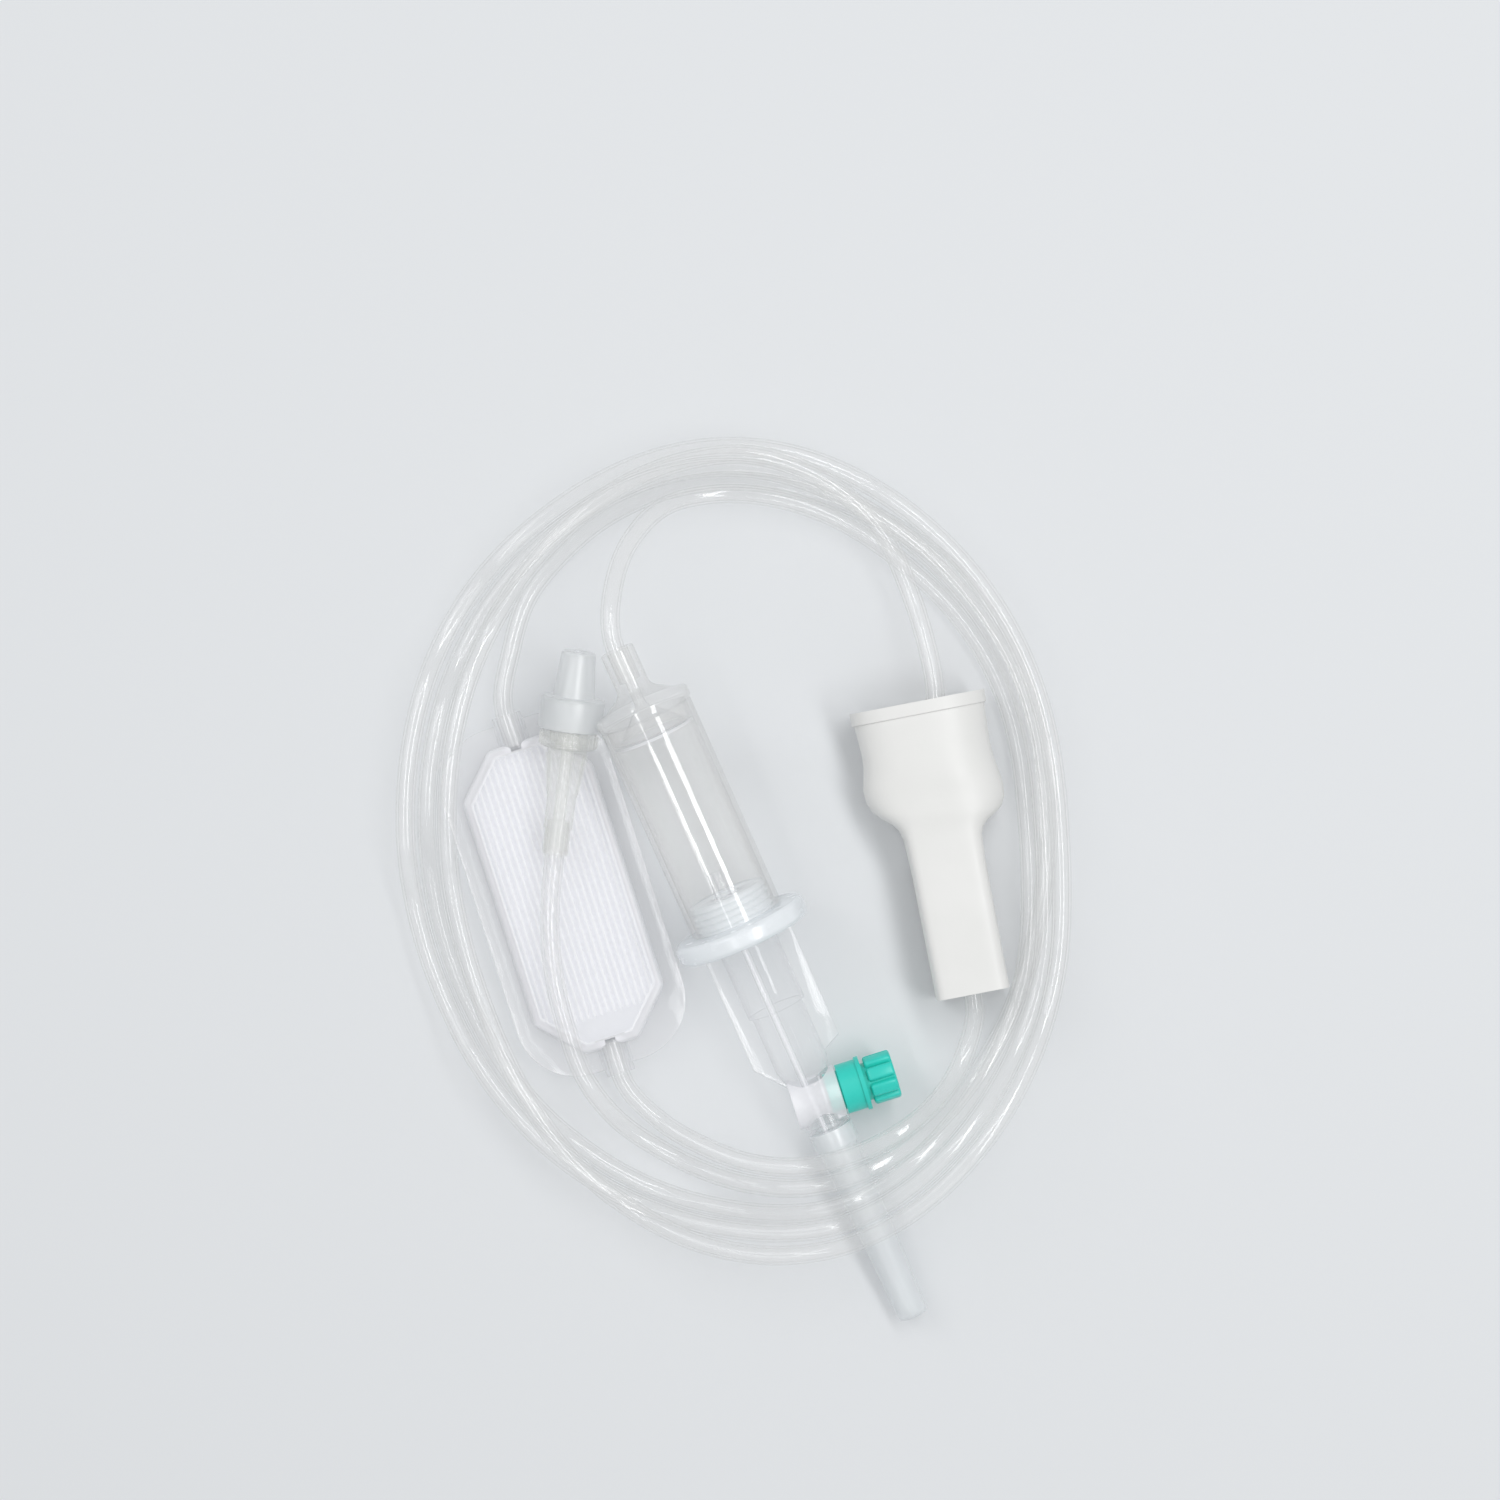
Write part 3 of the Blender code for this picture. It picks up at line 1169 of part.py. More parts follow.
def ease_to_held(height, fixed, arc):
    """Brings the run smoothly onto its held ends."""
    result = height.copy()
    is_held = ~np.isnan(fixed)
    result[is_held] = fixed[is_held]
    places = np.flatnonzero(is_held)
    edges = [i for i in places if i + 1 < len(arc) and not is_held[i + 1]]
    edges += [i for i in places if i > 0 and not is_held[i - 1]]
    for edge in edges:
        step = 1 if edge + 1 < len(arc) and not is_held[edge + 1] else -1
        error = fixed[edge] - height[edge]
        index = edge + step
        while 0 <= index < len(arc) and abs(arc[index] - arc[edge]) < 2 * SHOULDER:
            share = abs(arc[index] - arc[edge]) / (2 * SHOULDER)
            result[index] += error * (1 - share) ** 2 * (1 + 2 * share)
            index += step
    return result


def tube(name, route, spacing=TUBE_POINT_STEP, straight=(0.0, 0.0)):
    """A tube solid along a settled route: straight at its ends, then a point every few diameters."""
    lengths = np.concatenate([[0.0], np.cumsum(np.linalg.norm(np.diff(route, axis=0), axis=1))])
    first, last = straight[0], lengths[-1] - straight[1]
    count = max(2, int(round((last - first) / spacing)))
    wanted = np.unique(np.concatenate([[0.0], np.linspace(first, last, count + 1), [lengths[-1]]]))
    points = np.column_stack([np.interp(wanted, lengths, route[:, axis]) for axis in range(3)])
    curve = bpy.data.curves.new(name, "CURVE")
    curve.dimensions = "3D"
    curve.bevel_depth = TUBE_RADIUS
    curve.bevel_resolution = 2
    curve.use_fill_caps = True
    spline = curve.splines.new("POLY")
    spline.points.add(len(points) - 1)
    for point, (x, y, z) in zip(spline.points, points):
        point.co = (x - PLAN_ORIGIN[0], y - PLAN_ORIGIN[1], z, 1.0)
    curve.materials.append(CLEAR_SOFT)
    obj = bpy.data.objects.new(name, curve)
    parts.objects.link(obj)
    return obj


def clamp_rows(places):
    """Rows under the clamp's ceiling, from places along and across it."""
    return held(clamp, [(x, y, tube_height_in_clamp(x)) for x, y in places])


def drip_rows(depths):
    return held(drip, [(0.0, 0.0, SLEEVE_END + depth) for depth in depths])


def luer_rows(depths):
    return held(luer, [(0.0, 0.0, ADAPTER_END - depth) for depth in depths])


def port_rows(sign, depths):
    return held(flat_filter, [(sign * (PORT_END - depth), 0.0, PORT_HEIGHT) for depth in depths])


def make_tubes():
    """The tube's runs, each laid over those that are under it."""
    inner = SOCKET_DEPTH - GAP
    into = (inner, inner / 2, 0.0, -STRAIGHT_OUT)
    end = inner + STRAIGHT_OUT
    luer_route = settle(
        port_rows(-1, into) + free(LUER_LEAD) + coil_rows(LUER_COIL) + free(LUER_TAIL) + luer_rows(into[::-1]),
        [],
    )
    mouth = ((-0.0040, 0.0044), (0.0, 0.0037), (0.0090, 0.0019), (0.0170, 0.0003), (0.0205, 0.0),
             (CHANNEL_START - GAP, 0.0))
    long_route = settle(
        drip_rows(into) + free(LONG_LEAD) + coil_rows(LONG_COIL) + clamp_rows(mouth),
        [luer_route],
    )
    tail = ((CLAMP_LENGTH - GAP, 0.0), (CLAMP_LENGTH + 0.0015, 0.0), (CLAMP_LENGTH + 0.003, 0.0))
    short_route = settle(
        clamp_rows(tail) + free(SHORT_RUN) + port_rows(1, into[::-1]),
        [luer_route, long_route],
    )
    inside = [(CHANNEL_START + GAP, 0.0), (ROLLER_OPEN_PLACE, 0.0), (ROLLER_OPEN_PLACE + ROLLER_TRAVEL, 0.0),
              (CLAMP_LENGTH - 3 * GAP, 0.0)]
    pinched = np.array(clamp_rows(inside), float)
    tube("tube_filter_to_luer", luer_route, straight=(end, end))
    tube("tube_chamber_to_clamp", long_route, straight=(end, CHANNEL_START - 0.0205))
    tube("tube_clamp_to_filter", short_route, straight=(STRAIGHT_OUT, end))
    tube("tube_in_clamp", pinched, 0.0045)


bpy.context.view_layer.update()
make_chamber_cap()
make_drip_nozzle()
make_drip_chamber()
make_outlet_cap()
make_fluid_filter()
make_spike_housing()
make_spike_cap()
make_vent_filter()
make_vent_cap()
make_filter_rear_cover()
make_filter_front_cover()
make_filter_membrane()
make_air_vents()
make_clamp_body()
make_clamp_roller()
make_luer_cap()
make_luer_cap_membrane()
make_luer_collar()
make_luer_adapter()
make_tubes()

for obj in parts.objects:
    if obj.type == "MESH":
        obj.data.shade_smooth()
        obj.data.set_sharp_from_angle(angle=math.radians(35.0))
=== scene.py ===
# %% [markdown]
# # An infusion set, laid out and seen from straight above
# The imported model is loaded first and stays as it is. It gives every place, so each piece
# made here goes where its plain twin lies, and then stands in for it.
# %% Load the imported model
import math

import bmesh
import bpy
import numpy as np
from mathutils import Matrix, Vector


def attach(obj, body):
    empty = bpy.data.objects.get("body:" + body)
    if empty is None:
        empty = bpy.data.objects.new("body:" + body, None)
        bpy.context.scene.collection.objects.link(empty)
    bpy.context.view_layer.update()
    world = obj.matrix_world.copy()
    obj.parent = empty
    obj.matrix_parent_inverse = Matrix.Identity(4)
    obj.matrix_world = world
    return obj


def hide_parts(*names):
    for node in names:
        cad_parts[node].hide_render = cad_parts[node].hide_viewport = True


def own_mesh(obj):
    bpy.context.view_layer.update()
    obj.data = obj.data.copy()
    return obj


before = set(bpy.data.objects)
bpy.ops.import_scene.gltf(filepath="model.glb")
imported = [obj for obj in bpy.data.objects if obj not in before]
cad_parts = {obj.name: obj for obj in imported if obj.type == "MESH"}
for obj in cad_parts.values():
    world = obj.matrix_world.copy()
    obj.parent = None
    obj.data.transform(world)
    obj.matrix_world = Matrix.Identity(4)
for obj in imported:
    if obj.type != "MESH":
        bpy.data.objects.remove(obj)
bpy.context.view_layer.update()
scene = bpy.context.scene
scene.view_settings.view_transform = "Standard"

# %% [markdown]
# The set was photographed from straight above, so the camera looks down from high up. A long
# lens keeps the tall pieces from leaning outwards. Its frame is 315 mm wide. Strands of clear
# tube lie over each other, so a ray may pass many see-through walls.
# %% Camera
FRAME_WIDTH = 0.315
FRAME_MIDDLE = (0.0053, 0.0487)
CAMERA_HEIGHT = 1.6
SENSOR_WIDTH = 36.0
camera_data = bpy.data.cameras.new("above")
camera_data.sensor_width = SENSOR_WIDTH
camera_data.lens = SENSOR_WIDTH * CAMERA_HEIGHT / FRAME_WIDTH
camera_data.clip_start = 0.05
camera_data.clip_end = 20.0
camera = bpy.data.objects.new("above", camera_data)
camera.location = (*FRAME_MIDDLE, CAMERA_HEIGHT)
scene.collection.objects.link(camera)
scene.camera = camera
scene.cycles.transparent_max_bounces = 64
print("lens", round(camera_data.lens, 1), "mm")

# %% [markdown]
# A pale matt floor takes the shadows. It lies a hair below the set, so that no faces coincide.
# %% Floor
FLOOR_DROP = 0.0004
bpy.ops.object.select_all(action="DESELECT")
bpy.ops.mesh.primitive_plane_add(size=6.0, location=(0.0, 0.0, -FLOOR_DROP))
floor = bpy.context.object
floor.name = "floor"
floor_paint = bpy.data.materials.new("floor_paint")
floor_paint.use_nodes = True
floor_shader = floor_paint.node_tree.nodes["Principled BSDF"]
floor_shader.inputs["Base Color"].default_value = (0.745, 0.76, 0.775, 1.0)
floor_shader.inputs["Roughness"].default_value = 0.9
floor_shader.inputs["Specular IOR Level"].default_value = 0.1
floor.data.materials.append(floor_paint)
print("floor at", -FLOOR_DROP)

# %% [markdown]
# The lamps are a broad soft box and two long narrow ones, in an even pale room. Clear plastic
# shows itself by what it mirrors, and the narrow boxes draw the bright lines along it.
# %% Lamps
SPIKE_HEADING = -66.0
AIM = (0.0, 0.03, 0.0)


def soft_box(name, place, width, length, power, along=90.0):
    """A rectangular lamp that faces the set, with its long side along a plan heading."""
    lamp = bpy.data.lights.new(name, "AREA")
    lamp.shape = "RECTANGLE"
    lamp.size = width
    lamp.size_y = length
    lamp.energy = power
    holder = bpy.data.objects.new(name, lamp)
    back = (Vector(place) - Vector(AIM)).normalized()
    turn = math.radians(along)
    side = Vector((math.cos(turn), math.sin(turn), 0.0)).cross(back).normalized()
    facing = Matrix((side, back.cross(side), back)).transposed().to_4x4()
    holder.matrix_world = Matrix.Translation(place) @ facing
    scene.collection.objects.link(holder)


soft_box("left_box", (-0.8, 0.5, 0.9), 0.6, 0.6, 2.2)
soft_box("wide_strip", (0.39, 0.2, 1.0), 0.2, 1.2, 5.6, SPIKE_HEADING)
soft_box("thin_strip", (-0.33, -0.12, 1.0), 0.07, 1.1, 1.0, SPIKE_HEADING)
world = bpy.data.worlds.new("room")
scene.world = world
world.use_nodes = True
room_light = world.node_tree.nodes["Background"]
room_light.inputs["Color"].default_value = (0.97, 0.985, 1.0, 1.0)
room_light.inputs["Strength"].default_value = 0.5

# %% [markdown]
# Each finish is a small tree of shader nodes. These helpers start a tree and add nodes to it.
# %% Nodes of a finish


def new_material(name):
    """An empty node material and its tree."""
    material = bpy.data.materials.new(name)
    material.use_nodes = True
    tree = material.node_tree
    tree.nodes.clear()
    return material, tree


def add_node(tree, kind, **settings):
    node = tree.nodes.new(kind)
    for key, value in settings.items():
        setattr(node, key, value)
    return node


def math_node(tree, operation, *operands):
    """A Math node; each operand is a socket or a number."""
    node = add_node(tree, "ShaderNodeMath", operation=operation)
    for index, operand in enumerate(operands):
        if isinstance(operand, (int, float)):
            node.inputs[index].default_value = operand
        else:
            tree.links.new(operand, node.inputs[index])
    return node.outputs[0]


# %% [markdown]
# All finishes share these parts: noise that sits on the piece, a range of values, a tint that
# moves between two colours, and a bump.
# %% Noise, range, tint and bump


def noise(tree, scale, detail=3.0):
    """Noise that sits on the piece, in object coordinates."""
    place = add_node(tree, "ShaderNodeTexCoord")
    node = add_node(tree, "ShaderNodeTexNoise")
    node.inputs["Scale"].default_value = scale
    node.inputs["Detail"].default_value = detail
    tree.links.new(place.outputs["Object"], node.inputs["Vector"])
    return node.outputs["Fac"]


def between(tree, factor, low, high):
    """Maps 0..1 to low..high."""
    node = add_node(tree, "ShaderNodeMapRange")
    node.inputs["To Min"].default_value = low
    node.inputs["To Max"].default_value = high
    tree.links.new(factor, node.inputs["Value"])
    return node.outputs["Result"]


def tinted(tree, factor, first, second):
    """A colour that moves from first to second."""
    node = add_node(tree, "ShaderNodeMix", data_type="RGBA")
    tree.links.new(factor, node.inputs["Factor"])
    node.inputs["A"].default_value = (*first, 1.0)
    node.inputs["B"].default_value = (*second, 1.0)
    return node.outputs["Result"]


def bumped(tree, factor, strength, distance=0.0002):
    """A surface that looks a little uneven where the factor changes."""
    node = add_node(tree, "ShaderNodeBump")
    node.inputs["Strength"].default_value = strength
    node.inputs["Distance"].default_value = distance
    tree.links.new(factor, node.inputs["Height"])
    return node.outputs["Normal"]


# %% [markdown]
# Clear plastic on a pale ground is nearly invisible where it is seen face on, and grey and solid
# where it is seen edge on. So the material's opacity follows the facing. A mirror layer, whose
# strength follows the same angle, lies over it and keeps the highlights at full strength. For
# rays towards a lamp, a part of the surface is left open, so light reaches what lies below.
# %% Clear plastic


def clear_plastic(
    name, face_tint, edge_tint, face_on, edge_on, gloss, shine=0.02, curve=2.2, let_through=0.6
):
    """See-through plastic: opacity rises from face_on to edge_on as the surface turns away.

    shine is the mirror share face on, and let_through the share of the shadow that is taken off.
    """
    material, tree = new_material(name)
    facing = add_node(tree, "ShaderNodeLayerWeight").outputs["Facing"]
    turned_away = math_node(tree, "POWER", facing, curve)
    opacity = between(tree, turned_away, face_on, edge_on)
    wave = noise(tree, 260.0)
    normal = bumped(tree, wave, 0.15)
    body = add_node(tree, "ShaderNodeBsdfPrincipled")
    tree.links.new(tinted(tree, turned_away, face_tint, edge_tint), body.inputs["Base Color"])
    tree.links.new(between(tree, wave, gloss, gloss + 0.12), body.inputs["Roughness"])
    tree.links.new(opacity, body.inputs["Alpha"])
    tree.links.new(normal, body.inputs["Normal"])
    mirror = add_node(tree, "ShaderNodeBsdfGlossy")
    mirror.inputs["Color"].default_value = (1.0, 1.0, 1.0, 1.0)
    mirror.inputs["Roughness"].default_value = gloss
    tree.links.new(normal, mirror.inputs["Normal"])
    grazing = math_node(tree, "POWER", facing, 5.0)
    share = math_node(tree, "MULTIPLY_ADD", grazing, 0.6, shine)
    mix = add_node(tree, "ShaderNodeMixShader")
    tree.links.new(share, mix.inputs["Fac"])
    tree.links.new(body.outputs["BSDF"], mix.inputs[1])
    tree.links.new(mirror.outputs["BSDF"], mix.inputs[2])
    towards_lamp = add_node(tree, "ShaderNodeLightPath").outputs["Is Shadow Ray"]
    thinned = add_node(tree, "ShaderNodeMixShader")
    tree.links.new(math_node(tree, "MULTIPLY", towards_lamp, let_through), thinned.inputs["Fac"])
    tree.links.new(mix.outputs["Shader"], thinned.inputs[1])
    tree.links.new(add_node(tree, "ShaderNodeBsdfTransparent").outputs["BSDF"], thinned.inputs[2])
    output = add_node(tree, "ShaderNodeOutputMaterial")
    tree.links.new(thinned.outputs["Shader"], output.inputs["Surface"])
    return material


# %% [markdown]
# The numbers of each finish are its tint face on and edge on, its opacity face on and edge on,
# and its roughness. The hard pieces and tubes are nearly clear. The ring, the sheath and the luer
# cap are milky. Two finishes paint light: a milky one paints the bright lines along the filter's
# ribs and groove, and a white one paints the glare on the filter's rim and the vent's boss.
# %% Finishes of the clear and milky pieces
HARD_CLEAR = clear_plastic("hard_clear", (0.88, 0.88, 0.90), (0.66, 0.67, 0.71), 0.07, 0.65, 0.06)
CHAMBER_CLEAR = clear_plastic(
    "chamber_clear", (0.84, 0.84, 0.83), (0.66, 0.67, 0.67), 0.10, 0.7, 0.05, shine=0.045
)
WARM_CLEAR = clear_plastic("warm_clear", (0.84, 0.85, 0.81), (0.66, 0.67, 0.64), 0.14, 0.7, 0.1)
TUBE_CLEAR = clear_plastic(
    "tube_clear", (0.86, 0.86, 0.85), (0.68, 0.69, 0.68), 0.05, 0.5, 0.05, curve=2.4
)
# Painted bright lines: a milky finish for clear ribs and a groove floor, standing for the light they
# catch.
PAINTED_LINES_MILK = clear_plastic(
    "painted_lines_milk", (0.99, 0.99, 1.0), (0.95, 0.95, 0.98), 0.55, 0.8, 0.1, let_through=0.8
)
# Painted glare: a white finish for clear walls, rims and the vent's boss, standing for the glare on
# them.
PAINTED_GLARE_WHITE = clear_plastic(
    "painted_glare_white", (0.90, 0.90, 0.93), (0.84, 0.84, 0.88), 0.62, 0.9, 0.3, let_through=0.8
)
RING_MILK = clear_plastic(
    "ring_milk", (0.94, 0.975, 1.0), (0.87, 0.915, 0.955), 0.75, 0.95, 0.2, shine=0.04
)
SHEATH_MILK = clear_plastic(
    "sheath_milk", (0.86, 0.89, 0.905), (0.77, 0.80, 0.82), 0.45, 0.87, 0.28, shine=0.04
)
CAP_MILK = clear_plastic(
    "cap_milk", (0.80, 0.82, 0.83), (0.70, 0.72, 0.73), 0.45, 0.9, 0.34, shine=0.04
)
print("last finish", CAP_MILK.name)

# %% [markdown]
# The solid plastics are simpler: a colour that drifts a little over the piece, and a fine moulded
# grain that breaks the gloss. The membranes are a matt felt of fine fibres.
# %% Solid plastics and membranes


def moulded_plastic(name, light, dark, gloss, grain_scale=900.0, grain=0.08):
    """An opaque moulded plastic with a slight drift of colour and a fine grain."""
    material, tree = new_material(name)
    body = add_node(tree, "ShaderNodeBsdfPrincipled")
    drift = noise(tree, 90.0, 2.0)
    unevenness = between(tree, noise(tree, 300.0), gloss - 0.05, gloss + 0.1)
    tree.links.new(tinted(tree, drift, light, dark), body.inputs["Base Color"])
    tree.links.new(unevenness, body.inputs["Roughness"])
    tree.links.new(bumped(tree, noise(tree, grain_scale), grain), body.inputs["Normal"])
    output = add_node(tree, "ShaderNodeOutputMaterial")
    tree.links.new(body.outputs["BSDF"], output.inputs["Surface"])
    return material


CLAMP_WHITE = moulded_plastic("clamp_white", (0.82, 0.815, 0.80), (0.765, 0.765, 0.745), 0.38)
VENT_GREEN = moulded_plastic("vent_green", (0.034, 0.68, 0.58), (0.026, 0.58, 0.49), 0.3)
FELT = moulded_plastic(
    "felt", (0.82, 0.83, 0.855), (0.80, 0.81, 0.84), 0.85, grain_scale=2500.0, grain=0.05
)
print("last finish", FELT.name)

# %% [markdown]
# Each assembly is drawn upright at the origin, as it is easiest to draw, and then laid in its
# place. These are the places and headings of the plain model, where the ring's rim and the
# sheath's tip rest on the ground, so the spike falls a little.
# %% Places of the assemblies
ORIGIN = (-0.0015152, 0.0003907)
DRIP_FALL = 7.1867370
VENT_PLACE = 0.0387
VENT_LEAN = 6.7
LUER_HEADING = -97.0
UP = Vector((0.0, 0.0, 1.0))


def heading(degrees, fall=0.0):
    """The unit vector at a plan angle that falls by some degrees."""
    turn = math.radians(degrees)
    slope = math.radians(fall)
    plan = math.cos(slope)
    return Vector((math.cos(turn) * plan, math.sin(turn) * plan, -math.sin(slope)))


def laid(place, height, axis_z, axis_x):
    """The matrix that lays local Z and X along two directions, at a place of the layout."""
    z = axis_z.normalized()
    x = axis_x.normalized()
    turn = Matrix((x, z.cross(x), z)).transposed().to_4x4()
    return Matrix.Translation((place[0] - ORIGIN[0], place[1] - ORIGIN[1], height)) @ turn


DRIP = laid(
    (0.00203, 0.01167), 0.0145558, heading(SPIKE_HEADING, DRIP_FALL), heading(SPIKE_HEADING + 90.0)
)
VENT_TURN = Matrix.Rotation(math.radians(90.0 - VENT_LEAN), 4, "Y")
VENT = DRIP @ Matrix.Translation((0.0, 0.0, VENT_PLACE)) @ VENT_TURN
FILTER = laid((-0.0353, 0.0189), 0.0, UP, heading(-72.1))
CLAMP = laid((0.0386, 0.0592), 0.0, UP, heading(-79.1))
LUER = laid(
    (-0.03176, 0.06964), 0.0150, heading(LUER_HEADING, 6.8), heading(LUER_HEADING + 90.0)
)
print("ring centre", tuple(round(c, 4) for c in DRIP.translation))

# %% [markdown]
# An operator works on what is selected, so one helper selects a piece alone. Modifiers are
# applied at once, and a bevel takes the sharpness off every edge that turns by a fair angle.
# %% Selecting and modifying


def only(piece):
    """Selects one object and makes it the active one."""
    bpy.ops.object.select_all(action="DESELECT")
    piece.select_set(True)
    bpy.context.view_layer.objects.active = piece


def apply_modifier(piece, kind, **settings):
    """Adds a modifier and applies it."""
    only(piece)
    modifier = piece.modifiers.new(kind.lower(), kind)
    for key, value in settings.items():
        setattr(modifier, key, value)
    bpy.ops.object.modifier_apply(modifier=modifier.name)


def rounded(piece, width, segments=2, angle=28.0):
    """Rounds all edges that turn by more than an angle in degrees."""
    apply_modifier(piece, "BEVEL", width=width, segments=segments, limit_method="ANGLE",
                   angle_limit=math.radians(angle), harden_normals=False)


# %% [markdown]
# A finished piece is laid in its place with the place in its mesh, because the export puts every
# object at the origin. It gets its finish, rides its body and replaces its plain twin.
# %% Finishing a piece


def finished(piece, place, material, body, node, smooth=32.0):
    """Lays a piece in its place, gives it its finish and lets it stand for its plain twin."""
    piece.matrix_world = place @ piece.matrix_world
    only(piece)
    bpy.ops.object.transform_apply(location=True, rotation=True, scale=True)
    bpy.ops.object.shade_smooth_by_angle(angle=math.radians(smooth))
    piece.data.materials.clear()
    piece.data.materials.append(material)
    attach(piece, body)
    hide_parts(node)
    print(piece.name, len(piece.data.polygons), "faces")


# %% [markdown]
# The tubes are the cords of this part. Each run is a smooth curve through the points of the
# plain model, in millimetres, from inside one fitting to inside the next. The long run makes
# three turns of the coil, and its strands lie over each other.
# %% Points of the tubes
CHAMBER_TO_CLAMP = (
    (-19.64, 63.35, 21.74), (-23.27, 71.72, 22.75), (-23.05, 82.60, 19.70), (-19.55, 92.24, 14.54),
    (-12.49, 99.59, 9.38), (-2.07, 102.23, 5.87), (9.41, 101.62, 5.71), (20.46, 98.40, 5.62),
    (30.55, 92.99, 4.50), (39.52, 86.23, 2.08), (47.77, 78.18, 2.05), (54.43, 68.79, 2.05),
    (59.17, 58.30, 2.05), (61.92, 47.11, 2.05), (63.16, 35.83, 3.80), (63.81, 24.48, 5.68),
    (63.79, 12.98, 6.54), (62.58, 1.53, 6.71), (59.18, -9.47, 6.71), (54.19, -19.42, 9.15),
    (48.10, -28.03, 13.78), (40.53, -36.01, 17.12), (31.25, -42.80, 17.31), (20.86, -46.93, 14.99),
    (10.59, -48.04, 9.90), (0.31, -47.30, 4.75), (-10.44, -44.83, 2.05), (-21.02, -40.26, 2.05),
    (-30.45, -34.06, 3.60), (-38.55, -26.81, 7.04), (-45.91, -17.98, 6.71), (-51.51, -8.88, 2.48),
    (-56.28, 1.58, 2.05), (-59.75, 12.57, 2.05), (-61.76, 23.86, 2.70), (-62.27, 34.56, 6.83),
    (-61.50, 46.05, 7.05), (-59.28, 57.30, 6.49), (-55.80, 67.43, 2.32), (-50.45, 77.61, 2.05),
    (-43.50, 86.70, 2.84), (-35.25, 94.45, 4.90), (-25.73, 100.89, 5.49), (-15.16, 105.45, 5.65),
    (-3.87, 107.71, 5.84), (7.63, 107.33, 6.18), (18.73, 104.32, 6.61), (29.08, 99.27, 6.74),
    (38.58, 92.74, 6.73), (46.95, 84.83, 6.56), (54.11, 75.80, 6.37), (59.78, 65.78, 6.38),
    (63.62, 54.92, 6.38), (65.60, 43.61, 7.04), (66.48, 32.30, 9.07), (66.95, 20.81, 9.86),
    (66.84, 9.28, 10.00), (65.10, -2.10, 10.09), (61.38, -12.86, 11.33), (56.39, -22.24, 15.79),
    (49.97, -31.07, 19.44), (42.01, -39.30, 20.52), (32.65, -46.01, 20.52), (22.03, -50.31, 19.76),
    (11.24, -51.70, 16.17), (0.83, -51.17, 11.25), (-9.40, -49.23, 6.32), (-19.98, -45.34, 4.48),
    (-29.63, -39.77, 6.92), (-38.32, -32.73, 9.32), (-46.13, -24.26, 9.53), (-52.68, -14.82, 8.99),
    (-57.75, -5.23, 5.16), (-62.02, 5.42, 4.28), (-64.99, 16.53, 4.45), (-66.46, 27.36, 8.04),
    (-66.62, 38.86, 8.47), (-65.45, 50.32, 8.07), (-62.84, 61.53, 7.76), (-58.93, 71.72, 4.24),
    (-53.13, 81.53, 4.19), (-45.91, 90.03, 7.02), (-37.27, 97.53, 8.29), (-27.67, 103.91, 8.43),
    (-17.22, 108.75, 8.44), (-6.05, 111.57, 8.28), (5.44, 111.94, 7.93), (16.76, 109.84, 7.83),
    (27.43, 105.55, 7.23), (37.15, 99.49, 8.36), (45.91, 92.01, 8.69), (53.47, 83.33, 9.08),
    (59.67, 73.63, 9.66), (64.39, 63.12, 9.85), (67.50, 52.04, 10.21), (69.20, 40.78, 12.02),
    (70.01, 29.32, 12.94), (70.28, 17.80, 13.36), (69.69, 6.29, 13.62), (67.54, -5.01, 14.03),
    (63.89, -15.32, 17.61), (58.85, -25.05, 21.14), (52.28, -34.36, 22.76), (44.34, -42.71, 22.86),
    (35.05, -49.50, 22.61), (24.49, -54.07, 22.39), (13.34, -56.05, 20.60), (2.54, -55.64, 16.63),
    (-7.95, -52.98, 12.73), (-17.92, -48.05, 9.82), (-26.82, -41.40, 12.59), (-34.79, -33.15, 13.32),
    (-41.35, -23.70, 12.90), (-46.65, -13.57, 11.43), (-50.84, -3.59, 7.63), (-54.35, 7.05, 5.35),
    (-56.79, 18.12, 6.78), (-57.91, 29.40, 8.78), (-57.77, 40.92, 9.25), (-56.35, 52.36, 9.43),
    (-53.47, 63.45, 8.65), (-49.19, 73.69, 5.92), (-43.38, 83.35, 8.12), (-36.11, 92.08, 10.04),
    (-27.54, 99.57, 11.76), (-17.71, 105.52, 12.42), (-6.82, 109.26, 12.48), (4.62, 110.30, 12.42),
    (15.73, 107.45, 12.05), (25.62, 101.62, 11.41), (33.40, 93.18, 11.27), (38.12, 83.17, 8.44),
    (41.50, 72.87, 10.89), (43.73, 62.02, 13.25), (43.68, 50.49, 13.25), (43.96, 38.98, 13.25),
    (45.16, 32.59, 13.25),
)
CLAMP_TO_FILTER = (
    (51.78, -1.78, 9.45), (52.23, -4.24, 9.45), (50.11, -15.05, 8.14), (44.80, -23.81, 12.64),
    (36.82, -30.58, 16.63), (26.71, -35.50, 16.92), (15.76, -37.96, 16.31), (5.28, -37.34, 12.46),
    (-4.27, -34.16, 7.41), (-13.22, -29.23, 2.68), (-20.86, -21.35, 3.20), (-23.73, -12.61, 3.20),
)
